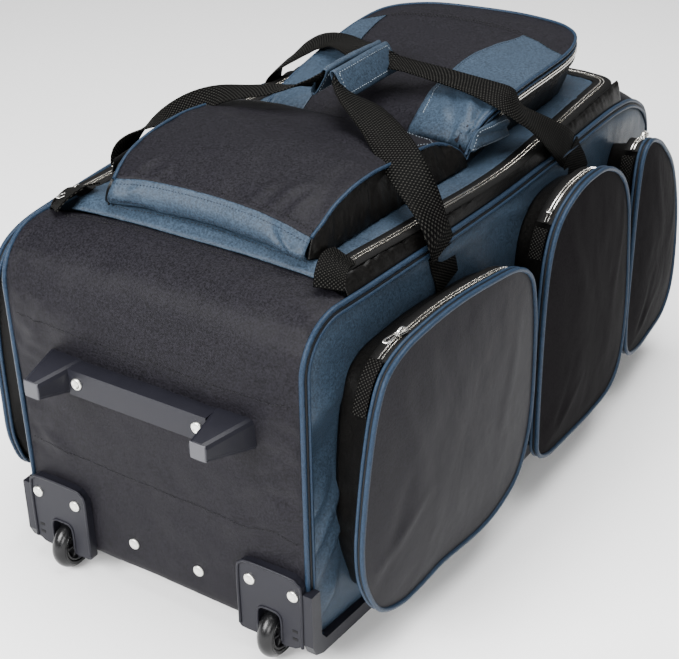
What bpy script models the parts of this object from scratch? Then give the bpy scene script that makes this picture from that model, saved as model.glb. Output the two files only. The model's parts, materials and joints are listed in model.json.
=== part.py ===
"""Wheeled hockey equipment bag: shell panels, lid with two top pockets, side pockets,
carry straps, wheel housings with wheels, stand bar, base rails, zip sliders and rivets.

Metres. +X is the side with three pockets, +Y runs from the wheel end to the far end, +Z is up.
The origin is at the middle of the floor area that the whole bag covers. The distances along
the bag in the constants below are counted from the wheel-end panel, as `along` values.
"""
import math

import bpy
import bmesh
from mathutils import Vector

# Driving dimensions
LENGTH = 0.905
WIDTH = 0.400
PANEL = 0.004
GAP = 0.0003
BASE_Z = 0.040
SIDE_TOP_Z = 0.440
LID_Z = 0.462
FRONT_REACH = 0.067
BACK_REACH = 0.0238

# Sideways bulge of the packed bag: (along, how far each side panel stands out)
BULGE = ((0.0, 0.0), (0.3665, 0.0235), (0.6645, 0.0215), (LENGTH, 0.0))

# Shell
WHEEL_END_CORNER = ((0.0, 0.385), (0.010, 0.424), (0.035, 0.451), (0.0795, LID_Z))
FAR_END_CORNER = ((0.7665, LID_Z), (0.815, 0.447), (0.862, 0.412), (0.893, 0.360), (LENGTH, 0.300))
LID_START = 0.081
LID_END = 0.7645
LID_HALF_WIDTH = 0.172
END_HALF_WIDTH = WIDTH / 2 - PANEL - GAP
BOARD_THICKNESS = 0.005

# Wheel housings, wheels and axles
WHEEL_RADIUS = 0.0335
WHEEL_WIDTH = 0.024
WHEEL_X = 0.154
WHEEL_ALONG = 0.005
HUB_RADIUS = 0.0225
BORE_RADIUS = 0.0043
AXLE_RADIUS = 0.004
ROUND = 28
WELL_HALF_WIDTH = 0.0155
WELL_WALL = 0.003
WELL_TOP_Z = 0.0705
WELL_BACK = 0.0425
PLATE_FRONT = -0.010
PLATE_X = (0.1105, 0.1998)
PLATE_Z = (0.030, 0.131)
PLATE_CORNER = 0.018

# Moulded rails, feet and stand bar
RAIL_Z = 0.022
RAIL_TOP_Z = 0.0397
RAIL_OUT = 0.012
RAIL_ARM_TOP_Z = 0.113
FOOT_X = (0.125, 0.190)
FOOT_ALONG = (0.835, 0.897)
FOOT_TAPER = 0.008
BAR_HALF_WIDTH = 0.096
BAR_DEPTH = 0.028
BAR_Z = (0.285, 0.318)
BAR_FOOT_BASE_X = (0.0905, 0.1435)
BAR_FOOT_BASE_Z = (0.279, 0.320)
BAR_FOOT_TIP_X = (0.1035, 0.1265)
BAR_FOOT_TIP_Z = (0.2935, 0.3165)

# Rivets
RIVET_RADIUS = 0.006
RIVET_HEIGHT = 0.0022
BAR_RIVET = (0.084, 0.302)
HOUSING_RIVETS = {"outer": (0.1875, 0.106), "inner": (0.1287, 0.106)}
PANEL_RIVET = (0.048, 0.076)

# Side pockets: (start, end) along the bag
POCKET_FOOT_Z = 0.076
POCKET_DEPTH = 0.0625
POCKET_FOOT_RADIUS = 0.040
# (start, end, radius at the near top corner, radius at the far top corner, top height)
RIGHT_POCKETS = {
    "wheel_end": (0.027, 0.364, 0.075, 0.060, 0.399),
    "middle": (0.373, 0.662, 0.060, 0.095, 0.412),
    "far": (0.671, 0.896, 0.050, 0.130, 0.399),
}
LEFT_POCKET = (0.030, 0.875, 0.075, 0.120, 0.399)

# Top pockets on the lid: along start and end, x from and to, top height at start and end
NEAR_TOP = (0.089, 0.372, -0.135, 0.160, 0.502, 0.500)
FAR_TOP = (0.386, 0.735, -0.128, 0.170, 0.490, 0.530)
TOP_POCKET_TAPER = 0.014
TOP_POCKET_RADIUS = 0.035
TOP_POCKET_ROUND = 0.014

# Carry straps
STRAP_WIDTH = 0.047
STRAP_THICKNESS = 0.003
# Folded narrower inside the grip, and this far past its ends
STRAP_FOLDED_WIDTH = 0.030
STRAP_THIN_REACH = 0.02
STRAP_HINGE_X = 0.2240
STRAP_HINGE_Z = 0.432
STRAP_FEET = (0.240, 0.606)
STRAP_FOOT_Z = 0.413
STRAP_ROUTE = (
    (0.2205, 0.240, 0.433), (0.2205, 0.237, 0.457), (0.2060, 0.238, 0.489),
    (0.1720, 0.254, 0.512), (0.1200, 0.290, 0.526), (0.0760, 0.320, 0.533),
    (0.0360, 0.345, 0.5425), (0.0225, 0.360, 0.5425), (0.0225, 0.424, 0.5425),
    (0.0225, 0.492, 0.5425), (0.0360, 0.503, 0.5425), (0.0760, 0.512, 0.537),
    (0.1200, 0.520, 0.531), (0.1630, 0.536, 0.518), (0.2000, 0.560, 0.491),
    (0.2260, 0.602, 0.457), (0.2270, 0.606, 0.433),
)
GRIP_ALONG = (0.364, 0.488)
GRIP_X = 0.0225
GRIP_Z = 0.5425
GRIP_THICKNESS = 0.0115
GRIP_WIDTH = 0.040
GRIP_LEAN = math.radians(30)
GRIP_WALL = 0.0035

# Tow handle on the far end
TOW_Z = 0.255
TOW_HALF_WIDTH = 0.080
TOW_BAND = 0.038

# Zip sliders and their pulls
SLIDER = (0.008, 0.013, 0.005)
PULL = (0.006, 0.024, 0.0014)
RIGHT_SLIDERS = {"wheel_end": 0.110, "middle": 0.454, "far": 0.740}
LEFT_SLIDER = 0.115
SLIDER_INSET = 0.045
MAIN_SLIDER = (-0.1805, 0.105)
# On the near pocket's left wall (along, z) and on the far pocket's far wall (x, z)
NEAR_TOP_SLIDER = (0.325, 0.475)
FAR_TOP_SLIDER = (-0.080, 0.495)
TOP_WALL_LEAN = 0.001

MID = (LENGTH + BACK_REACH - FRONT_REACH) / 2
SIDES = {"right": 1, "left": -1}

for old in list(bpy.data.objects):
    bpy.data.objects.remove(old)


def make_material(name, colour, roughness, metallic=0.0):
    made = bpy.data.materials.new(name)
    made.use_nodes = True
    shader = made.node_tree.nodes["Principled BSDF"]
    shader.inputs["Base Color"].default_value = (*colour, 1.0)
    shader.inputs["Roughness"].default_value = roughness
    shader.inputs["Metallic"].default_value = metallic
    made.diffuse_color = (*colour, 1.0)
    return made


BLACK_FABRIC = make_material("black_fabric", (0.026, 0.025, 0.028), 0.75)
BLUE_FABRIC = make_material("blue_fabric", (0.045, 0.075, 0.125), 0.70)
BLACK_WEBBING = make_material("black_webbing", (0.020, 0.020, 0.021), 0.80)
GREY_PLASTIC = make_material("grey_plastic", (0.065, 0.065, 0.080), 0.50)
BOARD = make_material("board", (0.030, 0.030, 0.032), 0.60)
WHEEL_RUBBER = make_material("wheel_rubber", (0.018, 0.018, 0.020), 0.55)
WHEEL_HUB = make_material("wheel_hub", (0.045, 0.045, 0.050), 0.45)
STEEL = make_material("steel", (0.62, 0.62, 0.62), 0.28, 1.0)


def place(x, along, z):
    """A point of the row, from its distance along the bag."""
    return Vector((x, along - MID, z))


def bulge(along):
    """How far a side panel stands out at this distance along the bag."""
    along = max(along, 0.0)
    for (a0, b0), (a1, b1) in zip(BULGE, BULGE[1:]):
        if along <= a1:
            return b0 + (b1 - b0) * (along - a0) / (a1 - a0)
    return 0.0


def bulge_slope(along):
    for (a0, b0), (a1, b1) in zip(BULGE, BULGE[1:]):
        if along <= a1:
            return (b1 - b0) / (a1 - a0)
    return 0.0


def finish(name, mesh_builder, material, smooth=False):
    """Turns a bmesh into a named object with outward faces."""
    bmesh.ops.recalc_face_normals(mesh_builder, faces=mesh_builder.faces)
    if mesh_builder.calc_volume(signed=True) < 0:
        bmesh.ops.reverse_faces(mesh_builder, faces=mesh_builder.faces)
    mesh = bpy.data.meshes.new(name)
    mesh_builder.to_mesh(mesh)
    mesh_builder.free()
    mesh.materials.append(material)
    if smooth:
        mesh.shade_smooth()
        mesh.set_sharp_from_angle(angle=math.radians(35))
    made = bpy.data.objects.new(name, mesh)
    bpy.context.scene.collection.objects.link(made)
    return made


def set_origin(made, point):
    """Moves an object's origin onto its joint without moving its shape."""
    for vertex in made.data.vertices:
        vertex.co -= point
    made.location = point
    return made


def loft(name, rings, material, closed=False, smooth=False):
    """Skins rings of equal length; the ends are capped unless the rings form a loop."""
    builder = bmesh.new()
    rows = [[builder.verts.new(p) for p in ring] for ring in rings]
    pairs = list(zip(rows, rows[1:]))
    if closed:
        pairs.append((rows[-1], rows[0]))
    for lower, upper in pairs:
        for i in range(len(lower)):
            j = (i + 1) % len(lower)
            builder.faces.new((lower[i], lower[j], upper[j], upper[i]))
    if not closed:
        builder.faces.new(rows[0])
        builder.faces.new(rows[-1])
    return finish(name, builder, material, smooth)


def turned(name, profile, centre, axis, material):
    """Turns a profile of (radius, offset along axis); a closed ring where no radius is 0."""
    direction = Vector(axis).normalized()
    side = direction.orthogonal().normalized()
    other = direction.cross(side)
    solid = profile[0][0] == 0
    builder = bmesh.new()
    rows = []
    for radius, offset in profile:
        middle = Vector(centre) + direction * offset
        if radius == 0:
            rows.append([builder.verts.new(middle)])
            continue
        angles = [2 * math.pi * i / ROUND for i in range(ROUND)]
        rows.append([
            builder.verts.new(middle + (side * math.cos(a) + other * math.sin(a)) * radius)
            for a in angles
        ])
    pairs = list(zip(rows, rows[1:]))
    if not solid:
        pairs.append((rows[-1], rows[0]))
    for first, second in pairs:
        for i in range(ROUND):
            j = (i + 1) % ROUND
            if len(first) == 1:
                builder.faces.new((first[0], second[i], second[j]))
            elif len(second) == 1:
                builder.faces.new((first[i], first[j], second[0]))
            else:
                builder.faces.new((first[i], first[j], second[j], second[i]))
    return finish(name, builder, material, smooth=True)


def box(name, low, high, material):
    """A block between two corners given as (x, along, z)."""
    outline = ((low[0], low[1]), (high[0], low[1]), (high[0], high[1]), (low[0], high[1]))
    rings = [[place(x, along, z) for x, along in outline] for z in (low[2], high[2])]
    return loft(name, rings, material)


def rounded_outline(low, high, radii, steps=4):
    """Points round a rectangle; radii are for the corners low-low, high-low, high-high, low-high."""
    corners = (
        (low[0], low[1], 1, 1, 180), (high[0], low[1], -1, 1, 270),
        (high[0], high[1], -1, -1, 0), (low[0], high[1], 1, -1, 90),
    )
    points = []
    for (x, y, to_x, to_y, start), radius in zip(corners, radii):
        for i in range(steps + 1):
            angle = math.radians(start + 90 * i / steps)
            points.append((
                x + to_x * radius + radius * math.cos(angle),
                y + to_y * radius + radius * math.sin(angle),
            ))
    return points


def profile_along_x(name, outline, half_width, material):
    """Extrudes an (along, z) outline across the bag."""
    rings = [[place(x, along, z) for along, z in outline] for x in (-half_width, half_width)]
    return loft(name, rings, material)


def side_slab(name, outline, inner, outer, side, material):
    """A slab on a side panel from an (along, z) outline, bent with the panel's bulge."""
    builder = bmesh.new()
    face = builder.faces.new([builder.verts.new((inner, along, z)) for along, z in outline])
    for station, _ in BULGE[1:-1]:
        bmesh.ops.bisect_plane(
            builder, geom=builder.verts[:] + builder.edges[:] + builder.faces[:], dist=1e-6,
            plane_co=(0, station, 0), plane_no=(0, 1, 0))
    del face
    lifted = bmesh.ops.extrude_face_region(builder, geom=builder.faces[:])
    moved = [v for v in lifted["geom"] if isinstance(v, bmesh.types.BMVert)]
    bmesh.ops.translate(builder, verts=moved, vec=(outer - inner, 0, 0))
    for vertex in builder.verts:
        x, along, z = vertex.co
        vertex.co = place(side * (x + bulge(along)), along, z)
    return finish(name, builder, material)


def inset_profile(points, distance):
    """The same open (along, z) profile moved to its right-hand side."""
    moved = []
    for i, (along, z) in enumerate(points):
        before = points[max(i - 1, 0)]
        after = points[min(i + 1, len(points) - 1)]
        run, rise = after[0] - before[0], after[1] - before[1]
        size = math.hypot(run, rise)
        moved.append((along + rise / size * distance, z - run / size * distance))
    return moved


def build_shell():
    """Bottom, ends, sides, lid-edge strips and the stiffening board inside."""
    half = WIDTH / 2 - PANEL - GAP
    notch_x = (WHEEL_X - WELL_HALF_WIDTH - WELL_WALL - 0.002,
               WHEEL_X + WELL_HALF_WIDTH + WELL_WALL + 0.002)
    notch_back = WELL_BACK + WELL_WALL + 0.002

    def notched(front, half_x, back):
        right = [(notch_x[0], front), (notch_x[0], notch_back), (notch_x[1], notch_back),
                 (notch_x[1], front), (half_x, front), (half_x, back)]
        return right + [(-x, along) for x, along in reversed(right)]

    front = PANEL + GAP
    back = LENGTH - PANEL - GAP
    floor_z = (BASE_Z, BASE_Z + PANEL)
    board_z = (floor_z[1] + GAP, floor_z[1] + GAP + BOARD_THICKNESS)
    for name, margin, (low, high), material in (
            ("bottom_panel", 0.0, floor_z, BLACK_FABRIC),
            ("base_board", 0.004, board_z, BOARD)):
        outline = notched(front + margin, half - margin, back - margin)
        loft(name, [[place(x, along, z) for x, along in outline] for z in (low, high)], material)

    outer = [(0.0, BASE_Z), *WHEEL_END_CORNER]
    profile_along_x("wheel_end_panel", outer + inset_profile(outer, PANEL)[::-1],
                    END_HALF_WIDTH, BLACK_FABRIC)
    cut_wheel_wells(bpy.data.objects["wheel_end_panel"], notch_x)
    outer = [*FAR_END_CORNER, (LENGTH, BASE_Z)]
    profile_along_x("far_end_panel", outer + inset_profile(outer, PANEL)[::-1],
                    END_HALF_WIDTH, BLACK_FABRIC)

    top = SIDE_TOP_Z
    side_outline = [(0.0, BASE_Z), (0.0, 0.385), (0.010, 0.415), (0.035, top), (0.800, top),
                    (0.862, 0.400), (0.893, 0.350), (LENGTH, 0.300), (LENGTH, BASE_Z)]
    for side_name, side in SIDES.items():
        side_slab(f"side_panel_{side_name}", side_outline, WIDTH / 2 - PANEL, WIDTH / 2,
                  side, BLUE_FABRIC)
        lid_edge_strip(side_name, side)


def lid_edge_strip(side_name, side):
    """The sloping strip between a side panel's top edge and the lid."""
    low_z = SIDE_TOP_Z + GAP
    stations = [LID_START, *[a for a, _ in BULGE[1:-1]], LID_END]
    rings = []
    for along in stations:
        out = WIDTH / 2 + bulge(along)
        section = (
            (out - PANEL, low_z), (out, low_z),
            (LID_HALF_WIDTH + GAP + PANEL, LID_Z), (LID_HALF_WIDTH + GAP, LID_Z),
            (LID_HALF_WIDTH + GAP, LID_Z - PANEL),
        )
        rings.append([place(side * x, along, z) for x, z in section])
    loft(f"lid_edge_strip_{side_name}", rings, BLACK_FABRIC)


def cut(target, cutter):
    """Cuts a hidden wire-frame block out of a solid."""
    cutter.hide_render = True
    cutter.display_type = "WIRE"
    modifier = target.modifiers.new("cut", "BOOLEAN")
    modifier.operation = "DIFFERENCE"
    modifier.object = cutter


def join(target, helper):
    """Adds a hidden helper block to a solid."""
    helper.hide_render = True
    helper.display_type = "WIRE"
    modifier = target.modifiers.new("join", "BOOLEAN")
    modifier.operation = "UNION"
    modifier.object = helper


def cut_wheel_wells(panel, notch_x):
    for side_name, side in SIDES.items():
        low_x, high_x = sorted((side * notch_x[0], side * notch_x[1]))
        block = box(f"well_cutter_{side_name}", (low_x, -0.02, BASE_Z - 0.01),
                    (high_x, 0.02, WELL_TOP_Z + WELL_WALL + 0.002), BLACK_FABRIC)
        cut(panel, block)


def build_lid():
    """The zipped lid, hinged at the wheel end, with its two top pockets."""
    hinge = place(0, LID_START, LID_Z)
    lid = box("lid_panel", (-LID_HALF_WIDTH, LID_START, LID_Z - PANEL),
              (LID_HALF_WIDTH, LID_END, LID_Z), BLUE_FABRIC)
    set_origin(lid, hinge)
    for name, (start, end, low_x, high_x, near_z, far_z) in (("top_pocket_near", NEAR_TOP),
                                                             ("top_pocket_far", FAR_TOP)):
        rings = []
        slope = (far_z - near_z) / (end - start)
        for drop, inset in ((None, 0.0), (TOP_POCKET_ROUND, 0.003), (0.0, TOP_POCKET_TAPER)):
            outline = rounded_outline((low_x + inset, start + inset), (high_x - inset, end - inset),
                                      (TOP_POCKET_RADIUS,) * 4)
            rings.append([
                place(x, along, LID_Z + GAP if drop is None
                      else near_z + slope * (along - start) - drop)
                for x, along in outline])
        set_origin(loft(name, rings, BLACK_FABRIC), hinge)


def pocket_outline(start, end, near_radius, far_radius, top):
    return rounded_outline((start, POCKET_FOOT_Z), (end, top),
                           (POCKET_FOOT_RADIUS, POCKET_FOOT_RADIUS, far_radius, near_radius))


def build_side_pockets():
    inner = WIDTH / 2 + GAP
    outer = WIDTH / 2 + POCKET_DEPTH
    for name, shape in RIGHT_POCKETS.items():
        side_slab(f"side_pocket_{name}", pocket_outline(*shape), inner, outer, 1, BLACK_FABRIC)
    side_slab("side_pocket_left_long", pocket_outline(*LEFT_POCKET), inner, outer, -1, BLACK_FABRIC)


def build_wheels():
    """Housing, axle, hub and tyre at each wheel-end corner."""
    for side_name, side in SIDES.items():
        centre = place(side * WHEEL_X, WHEEL_ALONG, WHEEL_RADIUS)
        build_housing(side_name, side)
        reach = WELL_HALF_WIDTH - GAP
        turned(f"wheel_axle_{side_name}", [(0, -reach), (AXLE_RADIUS, -reach),
                                           (AXLE_RADIUS, reach), (0, reach)],
               centre, (1, 0, 0), STEEL)
        half = WHEEL_WIDTH / 2
        tyre = turned(f"wheel_tyre_{side_name}", [
            (HUB_RADIUS, -half * 0.8), (WHEEL_RADIUS - 0.006, -half),
            (WHEEL_RADIUS - 0.0018, -half * 0.62), (WHEEL_RADIUS, -half * 0.22),
            (WHEEL_RADIUS, half * 0.22), (WHEEL_RADIUS - 0.0018, half * 0.62),
            (WHEEL_RADIUS - 0.006, half), (HUB_RADIUS, half * 0.8)], centre, (1, 0, 0), WHEEL_RUBBER)
        hub = turned(f"wheel_hub_{side_name}", [
            (BORE_RADIUS, -half * 0.9), (BORE_RADIUS + 0.005, -half * 0.9),
            (BORE_RADIUS + 0.007, -half * 0.6), (HUB_RADIUS - GAP, -half * 0.6),
            (HUB_RADIUS - GAP, half * 0.6), (BORE_RADIUS + 0.007, half * 0.6),
            (BORE_RADIUS + 0.005, half * 0.9), (BORE_RADIUS, half * 0.9)],
            centre, (1, 0, 0), WHEEL_HUB)
        for piece in (tyre, hub):
            set_origin(piece, centre)


def build_housing(side_name, side):
    """A moulded plate on the end panel with a wheel well behind it, open down and forwards."""
    plate_outline = rounded_outline((PLATE_X[0], PLATE_Z[0]), (PLATE_X[1], PLATE_Z[1]),
                                    (0.006, PLATE_CORNER, PLATE_CORNER, PLATE_CORNER))
    rings = [[place(side * x, along, z) for x, z in plate_outline] for along in (PLATE_FRONT, -GAP)]
    housing = loft(f"wheel_housing_{side_name}", rings, GREY_PLASTIC)
    wall = WELL_HALF_WIDTH + WELL_WALL

    def block(name, half_x, front, back, low, high):
        low_x, high_x = side * WHEEL_X - half_x, side * WHEEL_X + half_x
        return box(name, (low_x, front, low), (high_x, back, high), GREY_PLASTIC)

    join(housing, block(f"well_block_{side_name}", wall, PLATE_FRONT + 0.004,
                        WELL_BACK + WELL_WALL, RAIL_Z + 0.0005, WELL_TOP_Z + WELL_WALL))
    cut(housing, block(f"well_hollow_{side_name}", WELL_HALF_WIDTH, -0.03, WELL_BACK,
                       0.0, WELL_TOP_Z))


def build_mouldings():
    """Base rails with their corner arms, skid feet and the stand bar."""
    arm = 0.010
    outline = [(-arm, RAIL_ARM_TOP_Z), (-arm, RAIL_Z + 0.020), (-arm + 0.006, RAIL_Z + 0.006),
               (0.010, RAIL_Z), (LENGTH - 0.020, RAIL_Z), (LENGTH - 0.004, RAIL_Z + 0.008),
               (LENGTH - 0.004, RAIL_TOP_Z), (0.016, RAIL_TOP_Z), (arm - 0.002, RAIL_TOP_Z + 0.010),
               (arm - 0.004, RAIL_ARM_TOP_Z)]
    for side_name, side in SIDES.items():
        inner = WIDTH / 2 + GAP
        side_slab(f"base_rail_{side_name}", outline, inner, inner + RAIL_OUT, side, GREY_PLASTIC)
        low_x, high_x = sorted((side * FOOT_X[0], side * FOOT_X[1]))
        foot_rings = []
        for z, inset in ((0.0, FOOT_TAPER), (BASE_Z - GAP, 0.0)):
            points = rounded_outline((low_x + inset, FOOT_ALONG[0] + inset),
                                     (high_x - inset, FOOT_ALONG[1] - inset), (0.008,) * 4, 2)
            foot_rings.append([place(x, along, z) for x, along in points])
        loft(f"skid_foot_{side_name}", foot_rings, GREY_PLASTIC)
    build_stand_bar()


def build_stand_bar():
    bar = box("stand_bar", (-BAR_HALF_WIDTH, -BAR_DEPTH, BAR_Z[0]),
              (BAR_HALF_WIDTH, -GAP, BAR_Z[1]), GREY_PLASTIC)
    for side_name, side in SIDES.items():
        rings = []
        for along, xs, zs in ((-GAP, BAR_FOOT_BASE_X, BAR_FOOT_BASE_Z),
                              (-FRONT_REACH, BAR_FOOT_TIP_X, BAR_FOOT_TIP_Z)):
            outline = rounded_outline((xs[0], zs[0]), (xs[1], zs[1]), (0.006,) * 4, 2)
            rings.append([place(side * x, along, z) for x, z in outline])
        join(bar, loft(f"stand_bar_leg_{side_name}", rings, GREY_PLASTIC))


def build_rivets():
    """Domed rivet heads on the stand bar, the housings and the end panel."""
    sites = []
    for side_name, side in SIDES.items():
        sites.append((f"stand_bar_rivet_{side_name}", side * BAR_RIVET[0], -BAR_DEPTH, BAR_RIVET[1]))
        for which, (x, z) in HOUSING_RIVETS.items():
            sites.append((f"housing_rivet_{which}_{side_name}", side * x, PLATE_FRONT, z))
        sites.append((f"panel_rivet_{side_name}", side * PANEL_RIVET[0], 0.0, PANEL_RIVET[1]))
    for name, x, along, z in sites:
        turned(name, [(0, GAP), (RIVET_RADIUS, GAP), (RIVET_RADIUS, GAP + 0.0009),
                      (RIVET_RADIUS * 0.6, GAP + RIVET_HEIGHT), (0, GAP + RIVET_HEIGHT)],
               place(x, along, z), (0, -1, 0), STEEL)


def band(centre, tangent, normal, width, thickness):
    """Four corners of a flat band's section."""
    across = tangent.cross(normal).normalized()
    flat = across.cross(tangent).normalized()
    return [centre + across * (a * width / 2) + flat * (b * thickness / 2)
            for a, b in ((-1, -1), (1, -1), (1, 1), (-1, 1))]


def strap_normal(share):
    """Which way the right strap faces: out at its feet, up over the lid, leaning at the grip."""
    edge = min(share, 1 - share)
    if edge < 0.22:
        tilt = math.radians(90) * min(1.0, edge / 0.22)
    else:
        tilt = math.radians(90) - (math.radians(90) - GRIP_LEAN) * min(1.0, (edge - 0.22) / 0.18)
    return Vector((math.cos(tilt), 0, math.sin(tilt)))


def build_straps():
    """A webbing loop from each side, its grip wrap, and its feet sewn to the side panel."""
    count = len(STRAP_ROUTE)
    points = [place(*point) for point in STRAP_ROUTE]
    rings = []
    for i, centre in enumerate(points):
        tangent = (points[min(i + 1, count - 1)] - points[max(i - 1, 0)]).normalized()
        in_grip = GRIP_ALONG[0] - STRAP_THIN_REACH < STRAP_ROUTE[i][1] < GRIP_ALONG[1] + STRAP_THIN_REACH
        width = STRAP_FOLDED_WIDTH if in_grip else STRAP_WIDTH
        rings.append(band(centre, tangent, strap_normal(i / (count - 1)), width, STRAP_THICKNESS))
    for side_name, side in SIDES.items():
        hinge = place(side * STRAP_HINGE_X, sum(STRAP_FEET) / 2, STRAP_HINGE_Z)
        mirrored = [[Vector((side * p.x, p.y, p.z)) for p in ring] for ring in rings]
        set_origin(loft(f"carry_strap_{side_name}", mirrored, BLACK_WEBBING), hinge)
        build_grip(side_name, side, hinge)
        for which, along in zip(("near", "far"), STRAP_FEET):
            foot_outline = rounded_outline((along - STRAP_WIDTH / 2, STRAP_FOOT_Z),
                                           (along + STRAP_WIDTH / 2, SIDE_TOP_Z - 0.0095),
                                           (0.002,) * 4, 1)
            side_slab(f"strap_foot_{which}_{side_name}", foot_outline, WIDTH / 2 + GAP,
                      WIDTH / 2 + GAP + STRAP_THICKNESS, side, BLACK_WEBBING)


def build_grip(side_name, side, hinge):
    """A padded sleeve round the strap, open at both ends and along its upper edge."""
    outward = Vector((side * math.cos(GRIP_LEAN), 0, math.sin(GRIP_LEAN)))
    upward = Vector((-side * math.sin(GRIP_LEAN), 0, math.cos(GRIP_LEAN)))
    half_t, half_w = GRIP_THICKNESS / 2, GRIP_WIDTH / 2
    inner_t = half_t - GRIP_WALL
    section = ((-half_t, half_w), (-half_t, -half_w), (half_t, -half_w), (half_t, half_w),
               (inner_t, half_w), (inner_t, GRIP_WALL - half_w), (-inner_t, GRIP_WALL - half_w),
               (-inner_t, half_w))
    rings = []
    for along in GRIP_ALONG:
        centre = place(side * GRIP_X, along, GRIP_Z)
        rings.append([centre + outward * t + upward * w for t, w in section])
    set_origin(loft(f"grip_wrap_{side_name}", rings, BLUE_FABRIC), hinge)


def build_tow_handle():
    """A short webbing loop across the far end."""
    route = ((-TOW_HALF_WIDTH, 0.0018), (-TOW_HALF_WIDTH + 0.030, 0.0018), (-0.030, 0.022),
             (0.030, 0.022), (TOW_HALF_WIDTH - 0.030, 0.0018), (TOW_HALF_WIDTH, 0.0018))
    rings = []
    for x, out in route:
        low, high = TOW_Z - TOW_BAND / 2, TOW_Z + TOW_BAND / 2
        inner, outer = LENGTH + GAP + out - 0.0015, LENGTH + GAP + out + 0.0015
        rings.append([place(x, inner, low), place(x, outer, low),
                      place(x, outer, high), place(x, inner, high)])
    loft("tow_handle", rings, BLACK_WEBBING)


def zip_slider(name, place_on_zip, forward, up=(0, 0, 1)):
    """A slider block with its pull lying flat behind it; forward is the way it opens the zip."""
    forward = Vector(forward).normalized()
    up = Vector(up)
    across = forward.cross(up)
    centre = place(*place_on_zip) + up * (SLIDER[2] / 2 + GAP)

    def block(part, middle, size):
        half = [s / 2 for s in size]
        rings = []
        for level in (-half[2], half[2]):
            rings.append([middle + across * (a * half[0]) + forward * (f * half[1]) + up * level
                          for a, f in ((-1, -1), (1, -1), (1, 1), (-1, 1))])
        return loft(part, rings, STEEL)

    set_origin(block(f"{name}_slider", centre, SLIDER), centre)
    hinge = centre - forward * (SLIDER[1] / 2 + 0.0012)
    middle = hinge - forward * (PULL[1] / 2 - 0.0008)
    set_origin(block(f"{name}_pull", middle, PULL), hinge)


def build_sliders():
    for name, along in RIGHT_SLIDERS.items():
        x = WIDTH / 2 + bulge(along) + SLIDER_INSET
        zip_slider(f"side_zip_{name}", (x, along, RIGHT_POCKETS[name][-1]), (bulge_slope(along), 1, 0))
    x = -(WIDTH / 2 + bulge(LEFT_SLIDER) + SLIDER_INSET)
    zip_slider("side_zip_left", (x, LEFT_SLIDER, LEFT_POCKET[-1]), (-bulge_slope(LEFT_SLIDER), 1, 0))
    along, z = NEAR_TOP_SLIDER
    zip_slider("top_zip_near", (NEAR_TOP[2] + TOP_WALL_LEAN, along, z), (0, -1, 0), (-1, 0, 0))
    x, z = FAR_TOP_SLIDER
    zip_slider("top_zip_far", (x, FAR_TOP[1] - TOP_WALL_LEAN, z), (1, 0, 0), (0, 1, 0))
    x, along = MAIN_SLIDER
    zip_slider("main_zip", (x, along, LID_Z), (0, 1, 0))


build_shell()
build_lid()
build_side_pockets()
build_wheels()
build_mouldings()
build_rivets()
build_straps()
build_tow_handle()
build_sliders()
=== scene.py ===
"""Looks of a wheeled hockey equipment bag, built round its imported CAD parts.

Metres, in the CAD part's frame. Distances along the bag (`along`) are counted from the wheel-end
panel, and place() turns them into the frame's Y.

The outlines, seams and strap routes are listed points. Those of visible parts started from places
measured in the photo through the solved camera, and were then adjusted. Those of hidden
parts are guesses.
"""
import json
import math

import bpy
import numpy as np
from mathutils import Matrix, Vector, noise
from mathutils.bvhtree import BVHTree


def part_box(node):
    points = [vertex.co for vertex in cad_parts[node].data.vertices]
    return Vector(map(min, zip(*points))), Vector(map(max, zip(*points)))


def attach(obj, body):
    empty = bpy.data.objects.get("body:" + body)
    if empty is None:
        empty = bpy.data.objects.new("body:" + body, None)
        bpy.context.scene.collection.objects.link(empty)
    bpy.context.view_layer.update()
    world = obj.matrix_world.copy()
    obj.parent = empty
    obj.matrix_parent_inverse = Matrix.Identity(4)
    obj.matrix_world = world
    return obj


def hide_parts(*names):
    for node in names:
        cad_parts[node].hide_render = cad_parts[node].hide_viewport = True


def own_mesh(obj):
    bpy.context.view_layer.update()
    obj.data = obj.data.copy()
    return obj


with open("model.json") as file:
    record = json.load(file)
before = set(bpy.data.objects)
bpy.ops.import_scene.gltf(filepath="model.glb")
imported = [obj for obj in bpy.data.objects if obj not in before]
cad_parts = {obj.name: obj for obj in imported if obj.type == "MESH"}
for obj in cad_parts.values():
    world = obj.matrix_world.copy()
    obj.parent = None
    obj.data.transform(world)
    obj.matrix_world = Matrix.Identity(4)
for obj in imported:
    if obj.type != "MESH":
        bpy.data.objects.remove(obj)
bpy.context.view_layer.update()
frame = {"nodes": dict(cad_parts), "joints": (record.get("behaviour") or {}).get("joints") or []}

NODES = frame["nodes"]
JOINTS = {joint["name"]: joint for joint in frame["joints"]}

# Sizes shared with the CAD part
LENGTH = 0.905
HALF_WIDTH = 0.200
MID = 0.4309
TOP_Z = 0.4405
BASE_Z = 0.030
LID_Z = 0.4635
BULGE = ((0, 0), (0.12, 0.0095), (0.3665, 0.0235), (0.52, 0.0245), (0.6645, 0.0215),
         (0.80, 0.0105), (0.905, 0))
SIDES = {"right": 1, "left": -1}


# ---------------------------------------------------------------- helpers
def place(x, along, z):
    return Vector((x, along - MID, z))


def ramp(value, low, high):
    """0 below low, 1 above high, smooth between."""
    t = min(1.0, max(0.0, (value - low) / (high - low)))
    return t * t * (3 - 2 * t)


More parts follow.
